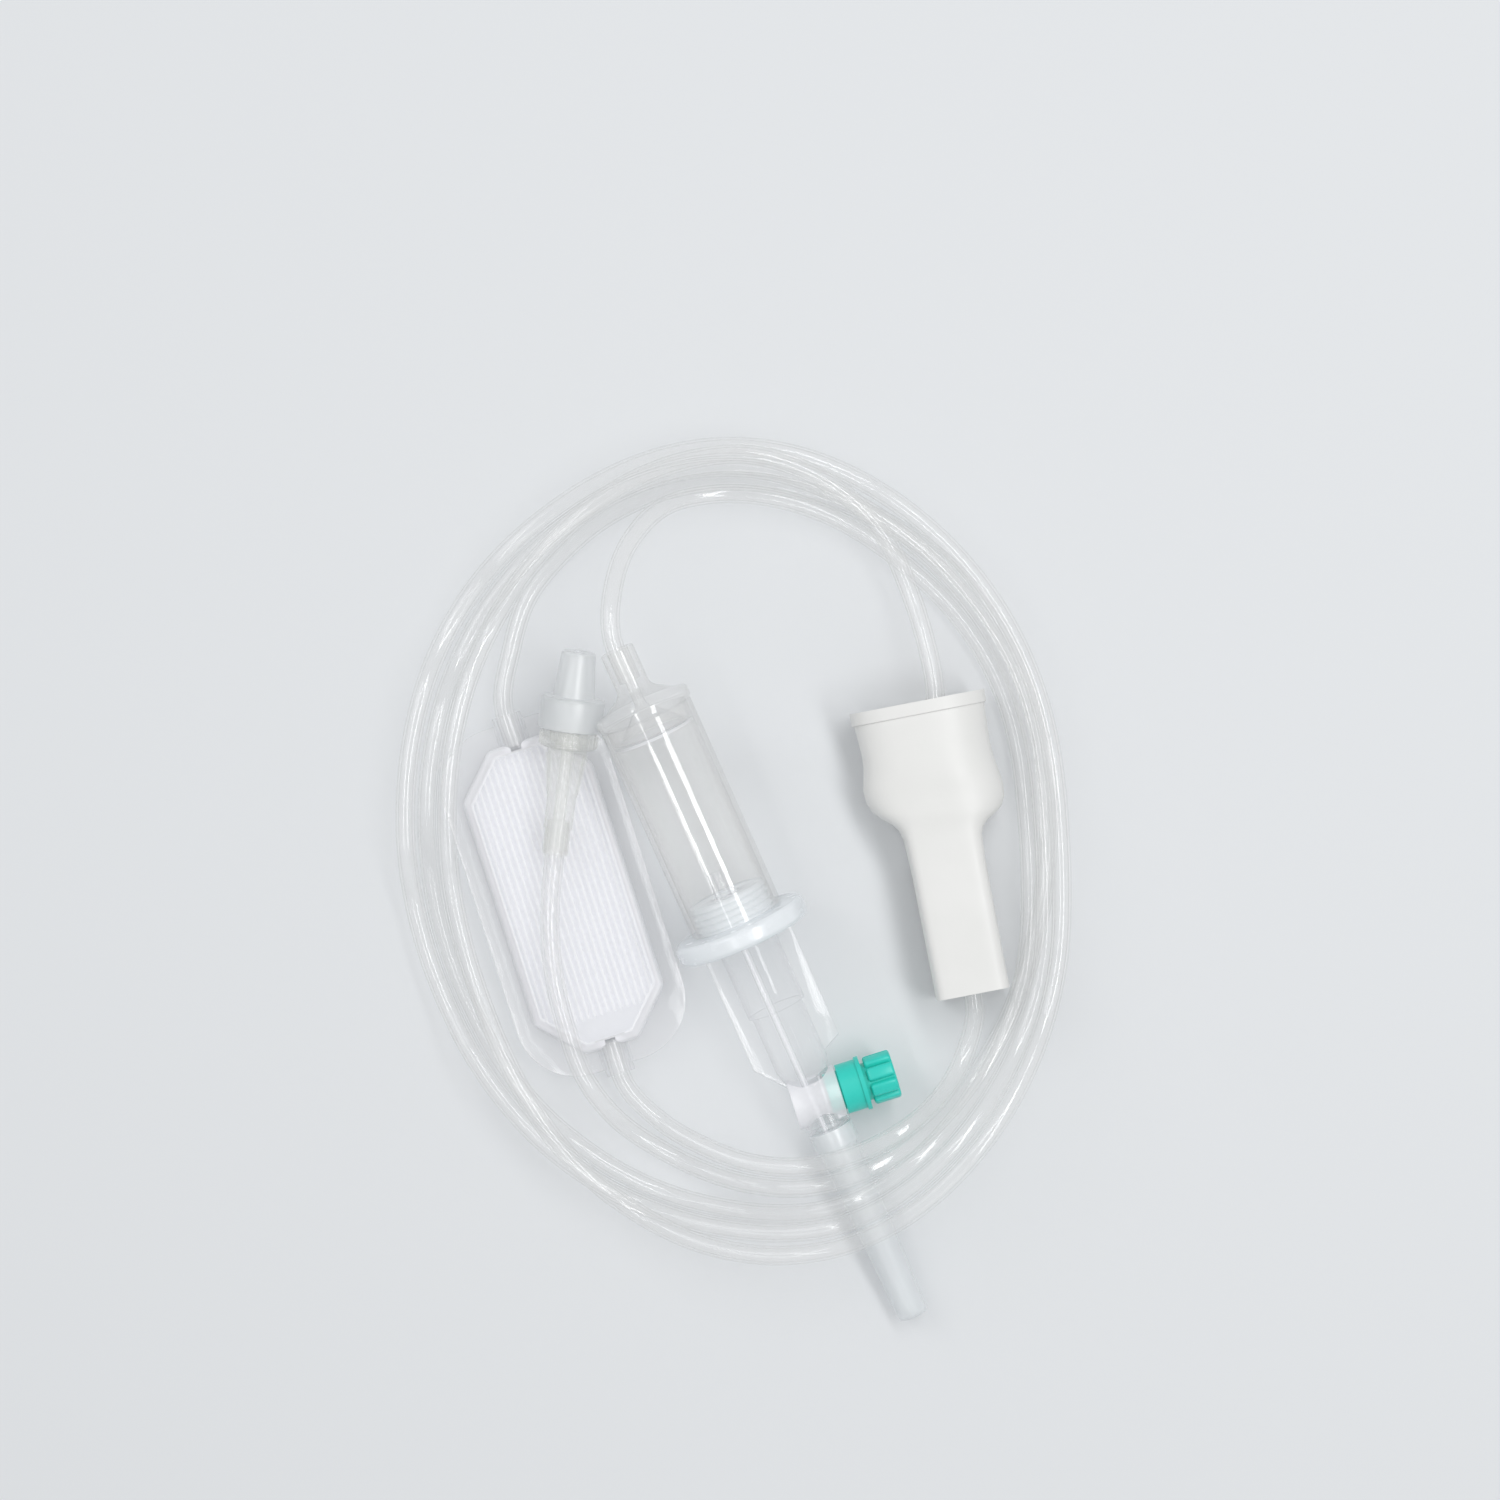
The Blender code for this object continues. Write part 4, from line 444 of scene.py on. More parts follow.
FILTER_TO_LUER = (
    (-43.84, 49.63, 3.20), (-46.46, 58.41, 3.20), (-44.83, 69.44, 2.06), (-41.45, 80.33, 2.05),
    (-34.47, 89.41, 2.05), (-25.79, 96.86, 2.05), (-15.59, 102.04, 2.05), (-4.48, 104.79, 2.05),
    (6.96, 104.88, 2.05), (18.20, 102.62, 2.05), (29.01, 98.82, 2.05), (39.09, 93.39, 2.05),
    (48.01, 86.20, 2.05), (55.33, 77.40, 2.05), (60.91, 67.39, 2.05), (64.82, 56.62, 2.05),
    (67.12, 45.39, 2.05), (67.93, 33.96, 2.05), (67.34, 22.51, 2.05), (65.58, 11.18, 2.05),
    (62.54, 0.13, 2.05), (58.07, -10.42, 2.05), (52.18, -20.20, 2.57), (45.45, -28.12, 7.36),
    (37.52, -34.61, 12.48), (27.72, -39.72, 14.84), (16.76, -42.38, 13.60), (6.48, -42.16, 8.58),
    (-3.49, -39.72, 3.51), (-13.66, -34.91, 2.05), (-22.51, -28.58, 5.13), (-29.03, -20.11, 8.69),
    (-33.09, -9.39, 8.75), (-35.65, 1.77, 8.75), (-36.49, 13.21, 8.75), (-35.72, 24.60, 9.68),
    (-34.61, 33.67, 10.73),
)
IN_CLAMP = (
    (45.28, 32.00, 13.25), (46.09, 27.81, 13.25), (46.89, 23.61, 13.25), (47.69, 19.47, 12.74),
    (48.48, 15.35, 11.90), (49.28, 11.24, 11.06), (50.07, 7.13, 10.22), (50.86, 3.01, 9.45),
    (51.67, -1.19, 9.45),
)
print("points of the long run", len(CHAMBER_TO_CLAMP))

# %% [markdown]
# Straight steps between the points would show as kinks. A smooth line passes through every point
# and leaves it in the direction from the point before to the point after.
# %% A smooth line and its length


def smooth_line(points, step=0.0018):
    """A smooth line in metres through points given in millimetres."""
    knots = np.array(points) / 1000.0
    reach = np.concatenate([[0.0], np.cumsum(np.linalg.norm(np.diff(knots, axis=0), axis=1))])
    slopes = np.gradient(knots, reach, axis=0)
    wanted = np.linspace(0.0, reach[-1], int(reach[-1] / step) + 1)
    index = np.clip(np.searchsorted(reach, wanted, side="right") - 1, 0, len(knots) - 2)
    width = (reach[index + 1] - reach[index])[:, None]
    t = (wanted - reach[index])[:, None] / width
    start_share = (2 * t**3 - 3 * t**2 + 1) * knots[index]
    start_lean = (t**3 - 2 * t**2 + t) * width * slopes[index]
    end_share = (3 * t**2 - 2 * t**3) * knots[index + 1]
    end_lean = (t**3 - t**2) * width * slopes[index + 1]
    return start_share + start_lean + end_share + end_lean


def run_length(line):
    """The length of a line in metres, to the millimetre."""
    return round(float(np.linalg.norm(np.diff(line, axis=0), axis=1).sum()), 3)


print("long run", run_length(smooth_line(CHAMBER_TO_CLAMP)), "m")

# %% [markdown]
# The curve's bevel makes the outer wall. Solidify gives it the thickness of the real one, so that
# the bore shows as a paler line.
# %% Tubes
TUBE_DIAMETER = 0.0041
TUBE_WALL = 0.00052


def tube(name, points, node):
    """A hollow tube along a smooth line."""
    line = smooth_line(points)
    curve = bpy.data.curves.new(name, "CURVE")
    curve.dimensions = "3D"
    curve.bevel_depth = TUBE_DIAMETER / 2
    curve.bevel_resolution = 5
    spline = curve.splines.new("POLY")
    spline.points.add(len(line) - 1)
    for point, place in zip(spline.points, line):
        point.co = (*place, 1.0)
    piece = bpy.data.objects.new(name, curve)
    scene.collection.objects.link(piece)
    only(piece)
    bpy.ops.object.convert(target="MESH")
    piece = bpy.context.object
    apply_modifier(piece, "SOLIDIFY", thickness=TUBE_WALL, offset=-1.0)
    finished(piece, Matrix.Identity(4), TUBE_CLEAR, "root", node)
    return piece, line


for name, points, node in (
    ("coiled_tube", CHAMBER_TO_CLAMP, "tube_chamber_to_clamp"),
    ("short_tube", CLAMP_TO_FILTER, "tube_clamp_to_filter"),
    ("last_tube", FILTER_TO_LUER, "tube_filter_to_luer"),
):
    piece, line = tube(name, points, node)
    print(name, run_length(line), "m")

# %% [markdown]
# The roller squeezes the run inside the clamp as it travels. That run is made like the others, with
# a mesh of its own.
# %% Tube inside the clamp
pinched, pinched_line = tube("pinched_tube", IN_CLAMP, "tube_in_clamp")
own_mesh(pinched)
print("pinched run", run_length(pinched_line), "m")

# %% [markdown]
# Most of the other pieces are turned: round about one axis. A turned piece starts as a circle,
# and its rim is extruded and scaled along the profile, step by step.
# %% Turned pieces
SIDES = 72


def turned(name, profile, ring=True, sides=SIDES):
    """A turned solid about Z. Its profile (radius, height) runs down the outer side."""
    radius, height = profile[0]
    bpy.ops.object.select_all(action="DESELECT")
    bpy.ops.mesh.primitive_circle_add(
        vertices=sides, radius=radius, fill_type="NOTHING" if ring else "NGON",
        location=(0.0, 0.0, height),
    )
    piece = bpy.context.object
    piece.name = name
    bpy.ops.object.transform_apply(location=True, rotation=False, scale=False)
    bpy.ops.object.mode_set(mode="EDIT")
    bpy.ops.mesh.select_all(action="SELECT")
    rows = profile[1:] + profile[:1] if ring else profile[1:]
    for next_radius, next_height in rows:
        if ring:
            bpy.ops.mesh.extrude_edges_move()
        else:
            bpy.ops.mesh.extrude_region_move()
        scale = next_radius / radius
        bpy.ops.transform.resize(value=(scale, scale, 1.0), center_override=(0.0, 0.0, height))
        bpy.ops.transform.translate(value=(0.0, 0.0, next_height - height))
        radius, height = next_radius, next_height
    bpy.ops.mesh.select_all(action="SELECT")
    bpy.ops.mesh.remove_doubles(threshold=0.000001)
    bpy.ops.mesh.normals_make_consistent(inside=False)
    bpy.ops.object.mode_set(mode="OBJECT")
    return piece


# %% [markdown]
# The drip chamber is a soft clear cylinder between the ring above it and a base below.
# %% Drip chamber
GAP = 0.0003
RIM_HALF = 0.00215
CHAMBER_RADIUS = 0.010
CHAMBER_BORE = 0.009
chamber_top = -RIM_HALF - GAP
chamber_low = chamber_top - 0.0468
chamber = turned("chamber_wall", [
    (CHAMBER_BORE, chamber_top), (CHAMBER_RADIUS, chamber_top),
    (CHAMBER_RADIUS, chamber_low), (CHAMBER_BORE, chamber_low),
])
rounded(chamber, 0.00025)
finished(chamber, DRIP, CHAMBER_CLEAR, "root", "drip_chamber")

# %% [markdown]
# The ring closes the chamber with a plug under its wide rim. The plug's four sealing ribs are
# what shows as fine rings through the chamber's wall.
# %% Chamber ring
RING_RADIUS = 0.0144
RING_EDGE = 0.0008
PLUG_RADIUS = 0.0082
SEAL_RADIUS = 0.0087
SEAL_RIBS = 4
SEAL_PITCH = 0.001378
plug_end = -RIM_HALF - 0.0062
seat_floor = RIM_HALF - 0.0018
ring_profile = [
    (0.0050, RIM_HALF), (RING_RADIUS - RING_EDGE, RIM_HALF), (RING_RADIUS, RIM_HALF - RING_EDGE),
    (RING_RADIUS, RING_EDGE - RIM_HALF), (RING_RADIUS - RING_EDGE, -RIM_HALF),
]
for rib in range(SEAL_RIBS):
    top = -RIM_HALF - SEAL_PITCH * rib
    ring_profile += [(PLUG_RADIUS, top), (PLUG_RADIUS, top - 0.00069), (SEAL_RADIUS, top - 0.00103)]
ring_profile += [
    (PLUG_RADIUS, plug_end), (0.0026, plug_end), (0.0026, seat_floor), (0.0050, seat_floor)
]
ring = turned("chamber_ring", ring_profile, sides=96)
rounded(ring, 0.0003)
finished(ring, DRIP, RING_MILK, "root", "chamber_cap")

# %% [markdown]
# A slim former in the ring's bore lets the fluid fall in drops of one size.
# %% Drop former
former_end = -RIM_HALF - 0.0110
nozzle = turned("drop_former", [
    (0.0011, seat_floor), (0.0023, seat_floor), (0.0023, plug_end), (0.00184, former_end),
    (0.0011, former_end),
], sides=40)
finished(nozzle, DRIP, HARD_CLEAR, "root", "drip_nozzle")

# %% [markdown]
# The chamber's base is a plug, a flange, a cone and a sleeve that holds the tube. The same socket
# for the tube comes back at the filter and at the luer lock.
# %% Chamber base
TUBE_FIT = 0.00235
TUBE_SOCKET = 0.007
FLOW_BORE = 0.0012
base_start = chamber_low - GAP
base_plug = base_start + 0.0040
flange_end = base_start - 0.0022
cone_end = flange_end - 0.0032
sleeve_end = cone_end - 0.0092
base = turned("chamber_base", [
    (0.0074, base_plug), (0.0087, base_plug), (0.0087, base_start), (0.0103, base_start),
    (0.0103, flange_end), (0.0078, flange_end - 0.0007), (0.0044, cone_end + 0.0005),
    (0.0036, cone_end - 0.0006), (0.0036, sleeve_end), (TUBE_FIT, sleeve_end),
    (TUBE_FIT, sleeve_end + TUBE_SOCKET), (FLOW_BORE, sleeve_end + TUBE_SOCKET),
    (FLOW_BORE, flange_end),
])
rounded(base, 0.0003)
finished(base, DRIP, CHAMBER_CLEAR, "root", "outlet_cap")

# %% [markdown]
# Mouldings that aren't round are joined from simple shapes, and hollowed with them. A slanting
# plane cuts a mesh in edit mode and fills the cut.
# %% Joining and cutting


def cut_or_join(piece, other, operation):
    """Joins a helper shape to a piece, or cuts it away, and removes the helper."""
    apply_modifier(piece, "BOOLEAN", object=other, operation=operation, solver="EXACT")
    bpy.data.objects.remove(other, do_unlink=True)


def cut_off(piece, *cuts):
    """Cuts a piece along planes (point, away), and drops what lies on the side away points to."""
    only(piece)
    bpy.ops.object.mode_set(mode="EDIT")
    for point, away in cuts:
        bpy.ops.mesh.select_all(action="SELECT")
        bpy.ops.mesh.bisect(
            plane_co=point, plane_no=Vector(away).normalized(), use_fill=True, clear_outer=True,
            threshold=0.00001,
        )
    bpy.ops.object.mode_set(mode="OBJECT")


# %% [markdown]
# The simple shapes are round bars and boxes, given by where they start and end.
# %% Bars and boxes


def bar(name, radius, low, high, sides=40):
    """A round bar along Z."""
    bpy.ops.object.select_all(action="DESELECT")
    bpy.ops.mesh.primitive_cylinder_add(
        vertices=sides, radius=radius, depth=high - low, location=(0.0, 0.0, (low + high) / 2)
    )
    piece = bpy.context.object
    piece.name = name
    bpy.ops.object.transform_apply(location=True, rotation=False, scale=False)
    return piece


def block(name, low, high):
    """A box between two corners."""
    bpy.ops.object.select_all(action="DESELECT")
    middle = [(a + b) / 2 for a, b in zip(low, high)]
    bpy.ops.mesh.primitive_cube_add(size=1.0, location=middle)
    piece = bpy.context.object
    piece.name = name
    piece.scale = [b - a for a, b in zip(low, high)]
    bpy.ops.object.transform_apply(location=True, rotation=False, scale=True)
    return piece


def turn_about_z(degrees):
    """The matrix of a turn about the upright axis."""
    return Matrix.Rotation(math.radians(degrees), 4, "Z")


# %% [markdown]
# The spike's housing is one clear moulding. Its core is turned, from the slim spike down to the
# end that sits in the ring, and the spike's point is cut off at a slant.
# %% Core of the spike housing
POINT_SLANT = math.radians(62.0)
start = RIM_HALF + GAP
waist_start = start + 0.0155
neck_start = waist_start + 0.0130
spike_start = neck_start + 0.01325
stop_top = spike_start + 0.0012
tip = stop_top + 0.0385
housing = turned("spike_body", [
    (0.0006, tip), (0.0015, tip), (0.0022, tip - 0.0080), (0.0026, stop_top), (0.0047, stop_top),
    (0.0047, spike_start), (0.0045, spike_start), (0.0045, neck_start + 0.0040),
    (0.0057, neck_start), (0.0057, waist_start), (0.0064, waist_start), (0.0064, start),
    (0.0047, start), (0.0047, RIM_HALF - 0.0015), (0.0006, RIM_HALF - 0.0015),
], ring=False)
rounded(housing, 0.00025)
cut_off(housing, ((0.0, 0.0, tip - 0.0036), (math.sin(POINT_SLANT), 0.0, math.cos(POINT_SLANT))))
print("spike's point at", round(tip, 4))

# %% [markdown]
# Two finger wings stand out of the core: one flat plate through it, with its far corners cut off.
# %% Finger wings
WING_REACH = 0.0097
WING_HALF_THICKNESS = 0.0008
wing_low, wing_high = start + 0.0005, start + 0.0258
wings = block(
    "wing", (-WING_REACH, -WING_HALF_THICKNESS, wing_low),
    (WING_REACH, WING_HALF_THICKNESS, wing_high + 0.0065),
)
cut_off(wings, ((WING_REACH, 0.0, wing_high), (0.0025, 0.0, 0.0052)),
        ((-WING_REACH, 0.0, wing_high), (-0.0065, 0.0, 0.0052)))
rounded(wings, 0.00015)
cut_or_join(housing, wings, "UNION")
print("core and wings", len(housing.data.polygons), "faces")

# %% [markdown]
# The round boss of the air vent leans out of the core's side. Its wide bore takes the vent's
# filter and plug, and a small hole leads on to the air channel.
# %% Vent boss
BOSS_RADIUS = 0.0055
BOSS_REACH = 0.0052
BOSS_BORE = 0.0045
CHANNEL_RADIUS = 0.0008
to_boss = DRIP.inverted() @ VENT
boss = bar("boss", BOSS_RADIUS, -BOSS_REACH, BOSS_REACH, 64)
rounded(boss, 0.0003)
boss.data.transform(to_boss)
cut_or_join(housing, boss, "UNION")
for radius, low, high in ((BOSS_BORE, 0.0012, 0.0062), (CHANNEL_RADIUS, 0.0008, 0.0017)):
    hollow = bar("hollow", radius, low, high, 64)
    hollow.data.transform(to_boss)
    cut_or_join(housing, hollow, "DIFFERENCE")
print("with its boss", len(housing.data.polygons), "faces")

# %% [markdown]
# Two narrow channels run up the spike: one for the fluid, from end to end, and one for the air,
# from the vent on.
# %% Channels of the spike
for across, low in ((-0.0011, RIM_HALF - 0.0025), (0.0011, VENT_PLACE)):
    channel = bar("channel", CHANNEL_RADIUS, low, tip + 0.001, 24)
    channel.data.transform(Matrix.Translation((across, 0.0, 0.0)))
    cut_or_join(housing, channel, "DIFFERENCE")
finished(housing, DRIP, HARD_CLEAR, "root", "spike_housing")

# %% [markdown]
# The boss round the vent is clear. Its faces take the whiter finish, which paints the white glare on
# it.
# %% Painted glare on the boss
# Painted glare: the boss's faces take the white finish.
housing.data.materials.append(PAINTED_GLARE_WHITE)
from_world = VENT.inverted()
for face in housing.data.polygons:
    middle = from_world @ face.center
    if 0.0046 < math.hypot(middle.x, middle.y) < 0.0058 and abs(middle.z) < 0.0054:
        face.material_index = 1
print("glare_painted faces", sum(face.material_index for face in housing.data.polygons))

# %% [markdown]
# A thin sheath covers the spike. It is closed at its tip, and pulls off.
# %% Sheath
sheath_low = stop_top + GAP
sheath_end = sheath_low + 0.0438
sheath = turned("spike_sheath", [
    (0.0010, sheath_end), (0.0026, sheath_end), (0.0032, sheath_end - 0.0006),
    (0.0042, sheath_low + 0.0046), (0.0047, sheath_low + 0.0040), (0.0047, sheath_low),
    (0.0036, sheath_low), (0.0036, sheath_low + 0.0046), (0.0026, sheath_end - 0.0012),
    (0.0010, sheath_end - 0.0012),
], ring=False)
rounded(sheath, 0.0002)
finished(sheath, DRIP, SHEATH_MILK, "spike_cap", "spike_cap")

# %% [markdown]
# A green plug closes the vent. Its flutes are rounded blocks, joined to a turned core.
# %% Vent plug
LOBES = 8
seat = 0.0055
knob_top = seat + 0.0117
plug = turned("vent_plug", [
    (0.0010, seat + 0.0102), (0.0026, seat + 0.0102), (0.0026, knob_top), (0.0040, knob_top),
    (0.0040, seat + 0.0051), (0.00575, seat + 0.0051), (0.00575, seat + 0.0042),
    (0.0053, seat + 0.0042), (0.0053, seat), (0.0042, seat), (0.0042, seat - 0.003),
    (0.0010, seat - 0.003),
], ring=False)
for lobe in range(LOBES):
    flute = block("flute", (0.0030, -0.0014, seat + 0.0059), (0.0051, 0.0014, knob_top))
    rounded(flute, 0.0006, 3)
    flute.data.transform(turn_about_z(360.0 / LOBES * lobe + 20.0))
    cut_or_join(plug, flute, "UNION")
finished(plug, VENT, VENT_GREEN, "vent_cap", "vent_cap")

# %% [markdown]
# The inline filter is two clear plates, welded at a wide flange. Its raised window is a long
# octagon over a white membrane. The window and the flange are given by their half length and half
# width, and the window also by how far its corner cuts reach along and across.
# %% Window and flange of the filter
WINDOW = ((0.0333, 0.01425), (0.0088, 0.0084))
FLANGE = (0.0378, 0.01825)
FLANGE_CORNER = 0.0130
CUT_SHRINK = 0.4


def octagon(name, inset, low, high):
    """The window's octagon: a box whose four upright edges are cut off, less so when inset."""
    (reach, half_width), (along, across) = WINDOW
    reach, half_width = reach - inset, half_width - inset
    along, across = along - CUT_SHRINK * inset, across - CUT_SHRINK * inset
    piece = block(name, (-reach, -half_width, low), (reach, half_width, high))
    cut_off(piece, *[
        ((sx * reach, sy * (half_width - across), 0.0), (sx * across, sy * along, 0.0))
        for sx in (-1, 1) for sy in (-1, 1)
    ])
    return piece


def flange(name, inset, low, high):
    """The flange's plate: a box with its upright edges rounded."""
    reach, half_width = FLANGE[0] - inset, FLANGE[1] - inset
    piece = block(name, (-reach, -half_width, low), (reach, half_width, high))
    only(piece)
    bpy.ops.object.mode_set(mode="EDIT")
    bpy.ops.mesh.select_mode(type="EDGE")
    bpy.ops.mesh.select_all(action="DESELECT")
    mesh = bmesh.from_edit_mesh(piece.data)
    for edge in mesh.edges:
        edge.select = abs(edge.verts[0].co.z - edge.verts[1].co.z) > 0.0001
    bmesh.update_edit_mesh(piece.data)
    bpy.ops.mesh.bevel(offset=FLANGE_CORNER - inset, segments=16, affect="EDGES")
    bpy.ops.object.mode_set(mode="OBJECT")
    return piece


# %% [markdown]
# Fine ribs along the window hold the membrane apart from the wall. A tube port lies at each end:
# the rear cover carries the ports, and the front cover makes room for them.
# %% Ribs and ports of the filter
WALL = 0.001
RIB_HALF = 0.00025
RIB_PITCH = 0.00142
RIB_END_SPACE = 0.0012
CORNER_SLACK = 0.0004
PORT_HEIGHT = 0.0032


def ribs(piece, count, pitch, low, high, stop):
    """Joins long thin ribs to a cover, each as long as the window is there."""
    (reach, half_width), (along, across) = WINDOW
    straight = half_width - WALL - across + CORNER_SLACK
    for rib in range(count):
        y = (rib - (count - 1) / 2) * pitch
        far = reach - WALL - RIB_END_SPACE
        if abs(y) + RIB_HALF > straight:
            far -= (abs(y) + RIB_HALF - straight) * (along / across)
        strip = block("strip", (-far, y - RIB_HALF, low), (min(far, stop), y + RIB_HALF, high))
        cut_or_join(piece, strip, "UNION")


def ports(piece, radius, inner, outer, operation):
    """The tube ports lie along the filter, one at each end."""
    for side in (-90.0, 90.0):
        pipe = bar("pipe", radius, inner, outer)
        turn = Matrix.Rotation(math.radians(side), 4, "Y")
        pipe.data.transform(Matrix.Translation((0.0, 0.0, PORT_HEIGHT)) @ turn)
        cut_or_join(piece, pipe, operation)


# %% [markdown]
# The rear cover is a tray under the flange. It carries both tube ports and every second rib.
# %% Filter's rear cover
rear = flange("filter_back", 0.0, 0.0020, 0.0032)
rounded(rear, 0.00018, 2, 40.0)
cut_or_join(rear, octagon("tray", 0.0, 0.0, 0.0030), "UNION")
cut_or_join(rear, octagon("tray_hollow", WALL, WALL, 0.0042), "DIFFERENCE")
ribs(rear, 8, 2 * RIB_PITCH, 0.0008, 0.0032, 0.0260)
ports(rear, 0.0031, 0.0320, 0.0394, "UNION")
ports(rear, TUBE_FIT, 0.0324, 0.0404, "DIFFERENCE")
finished(rear, FILTER, HARD_CLEAR, "root", "filter_rear_cover")

# %% [markdown]
# The front cover is the raised window on its flange. Two hairline grooves catch the light: one
# inside the window's edge and one inside the flange's. The window groove's floor also takes a
# milky finish that paints its bright line.
# %% Filter's front cover
WINDOW_TOP = 0.0064
LINE_WIDTH = 0.0003
LINE_FLOOR = 0.00622
front = flange("filter_front", 0.0, 0.0035, 0.0047)
rounded(front, 0.00018, 2, 40.0)
dome = octagon("dome", 0.0, 0.0037, WINDOW_TOP)
rounded(dome, 0.0009, 3, 20.0)
cut_or_join(front, dome, "UNION")
cut_or_join(front, octagon("dome_hollow", WALL, 0.0025, WINDOW_TOP - WALL), "DIFFERENCE")
for outline, inset, floor_height in ((octagon, 0.0017, LINE_FLOOR), (flange, 0.0013, 0.00455)):
    below, above = floor_height - 0.001, floor_height + 0.002
    line = outline("line", inset, floor_height, floor_height + 0.001)
    cut_or_join(line, outline("line_core", inset + LINE_WIDTH, below, above), "DIFFERENCE")
    if outline is flange:
        cut_or_join(line, octagon("line_stop", -0.0002, below, above), "DIFFERENCE")
    cut_or_join(front, line, "DIFFERENCE")
ribs(front, 17, RIB_PITCH, 0.0041, 0.0056, 0.0265)
ports(front, 0.0034, 0.0317, 0.0404, "DIFFERENCE")
finished(front, FILTER, HARD_CLEAR, "root", "filter_front_cover")

# %% [markdown]
# Three finishes share the front cover. The flange stays clear. The ribs and the window's groove
# take the milky finish, which paints the bright lines that light draws along them. The window's
# wall and outer rim take the white finish, which paints the glare on the window's edge. Each face
# is told by its place.
# %% Finishes of the front cover
CLEAR, MILKY, WHITE = 0, 1, 2
front.data.materials.append(PAINTED_LINES_MILK)
front.data.materials.append(PAINTED_GLARE_WHITE)


def front_finish(middle, corners, upward):
    """Which finish a face takes, from its middle, its corners and how far it faces up."""
    inside = abs(middle.x) < 0.0322 and abs(middle.y) < 0.0132
    outer = any(abs(corner.x) > 0.03145 or abs(corner.y) > 0.0124 for corner in corners)
    rib = inside and 0.0040 < middle.z < 0.00535 and upward < 0.5
    line = abs(middle.z - LINE_FLOOR) < 0.00002 and upward > 0.99
    wall = 0.0048 < middle.z < 0.00635 and not (inside and middle.z < 0.00545)
    # Painted light: the ribs and the groove's floor take painted bright lines, the wall and outer
    # rim painted glare.
    if rib or line:
        return MILKY
    return WHITE if wall or (outer and middle.z > 0.00635) else CLEAR


to_filter = FILTER.inverted()
for face in front.data.polygons:
    corners = [to_filter @ front.data.vertices[index].co for index in face.vertices]
    face.material_index = front_finish(to_filter @ face.center, corners, face.normal.z)
front_finishes = [face.material_index for face in front.data.polygons]
print("clear, milky, white faces", [front_finishes.count(kind) for kind in (CLEAR, MILKY, WHITE)])

# %% [markdown]
# The clamp's body is one opaque moulding that changes from an oval cup to a square channel. A loft
# through sections makes such a shape best. Each row gives a section's place along the clamp, its
# half width, its low and high side, and how square it is.
# %% Sections of the clamp
CLAMP_SECTIONS = (
    (0.0, 0.0143, 0.0, 0.0184, 2.6), (0.0026, 0.0143, 0.0, 0.0184, 2.6),
    (0.0028, 0.0138, 0.0005, 0.0179, 2.6), (0.0060, 0.0136, 0.0005, 0.0179, 2.6),
    (0.0100, 0.0134, 0.0005, 0.0179, 2.6), (0.0125, 0.01355, 0.0005, 0.0180, 2.6),
    (0.0145, 0.01385, 0.0004, 0.0180, 2.6), (0.0163, 0.0142, 0.0003, 0.0179, 2.7),
    (0.0182, 0.0145, 0.0002, 0.0178, 2.8), (0.0208, 0.0143, 0.0, 0.0176, 2.9),
    (0.0229, 0.0133, 0.0, 0.0177, 3.1), (0.0245, 0.0115, 0.0, 0.0175, 3.5),
    (0.0257, 0.0098, 0.0, 0.0173, 4.2), (0.0270, 0.0087, 0.0, 0.0171, 5.2),
    (0.0288, 0.0081, 0.0, 0.0170, 6.2), (0.0350, 0.0078, 0.0, 0.0170, 7.0),
    (0.0620, 0.0077, 0.0, 0.0170, 7.0),
)
print("sections", len(CLAMP_SECTIONS))

# %% [markdown]
# A section is a circle squared up by a power. The shoulders of the real clamp aren't level, so
# the sections there lean a little, and those at both ends don't.
# %% Form of a section
SHOULDER_SLANT = 0.13


def squared_circle(half_width, low, high, power, count):
    """Points round a section, from an oval towards a rectangle as power grows."""
    for index in range(count):
        angle = 2 * math.pi * (index + 0.5) / count
        across, up = math.cos(angle), math.sin(angle)
        yield (
            half_width * math.copysign(abs(across) ** (2 / power), across),
            (low + high) / 2 + (high - low) / 2 * math.copysign(abs(up) ** (2 / power), up),
        )


def shoulder_slant(x):
    """How far X leans with Y at a section: most at the shoulders, and not at either end."""
    rise = min(max((x - 0.0040) / 0.0150, 0.0), 1.0)
    fall = min(max((0.0350 - x) / 0.0080, 0.0), 1.0)
    return SHOULDER_SLANT * rise * fall


# %% [markdown]
# The loft joins the points of each section to those of the next and closes both ends.
# %% Loft of the clamp


def loft(name, sections, count=72):
    """A closed skin through sections along X."""
    mesh = bmesh.new()
    rows = []
    for x, *section in sections:
        slant = shoulder_slant(x)
        points = squared_circle(*section, count)
        rows.append([mesh.verts.new((x + slant * y, y, z)) for y, z in points])
    for first, second in zip(rows, rows[1:]):
        for i in range(count):
            j = (i + 1) % count
            mesh.faces.new((first[i], second[i], second[j], first[j]))
    mesh.faces.new(rows[0])
    mesh.faces.new(rows[-1][::-1])
    bmesh.ops.recalc_face_normals(mesh, faces=mesh.faces)
    data = bpy.data.meshes.new(name)
    mesh.to_mesh(data)
    mesh.free()
    piece = bpy.data.objects.new(name, data)
    scene.collection.objects.link(piece)
    return piece


body = loft("clamp_shell", CLAMP_SECTIONS)
print("clamp's skin", len(body.data.polygons), "faces")

# %% [markdown]
# The cup is hollowed by the same sections, a wall smaller. The used spike is pushed into it.
# %% Clamp's cup
CUP_WALL = 0.0013
cup = [
    (x, half_width - CUP_WALL, low + CUP_WALL, high - CUP_WALL, power)
    for x, half_width, low, high, power in CLAMP_SECTIONS if x < 0.0215
]
cup[0] = (-0.001, *cup[0][1:])
_, half_width, low, high, power = cup[-1]
cup.append((0.0238, half_width - 0.003, low + 0.0012, high - 0.0012, power))
cut_or_join(body, loft("cup_hollow", cup), "DIFFERENCE")
print("cup's sections", len(cup))

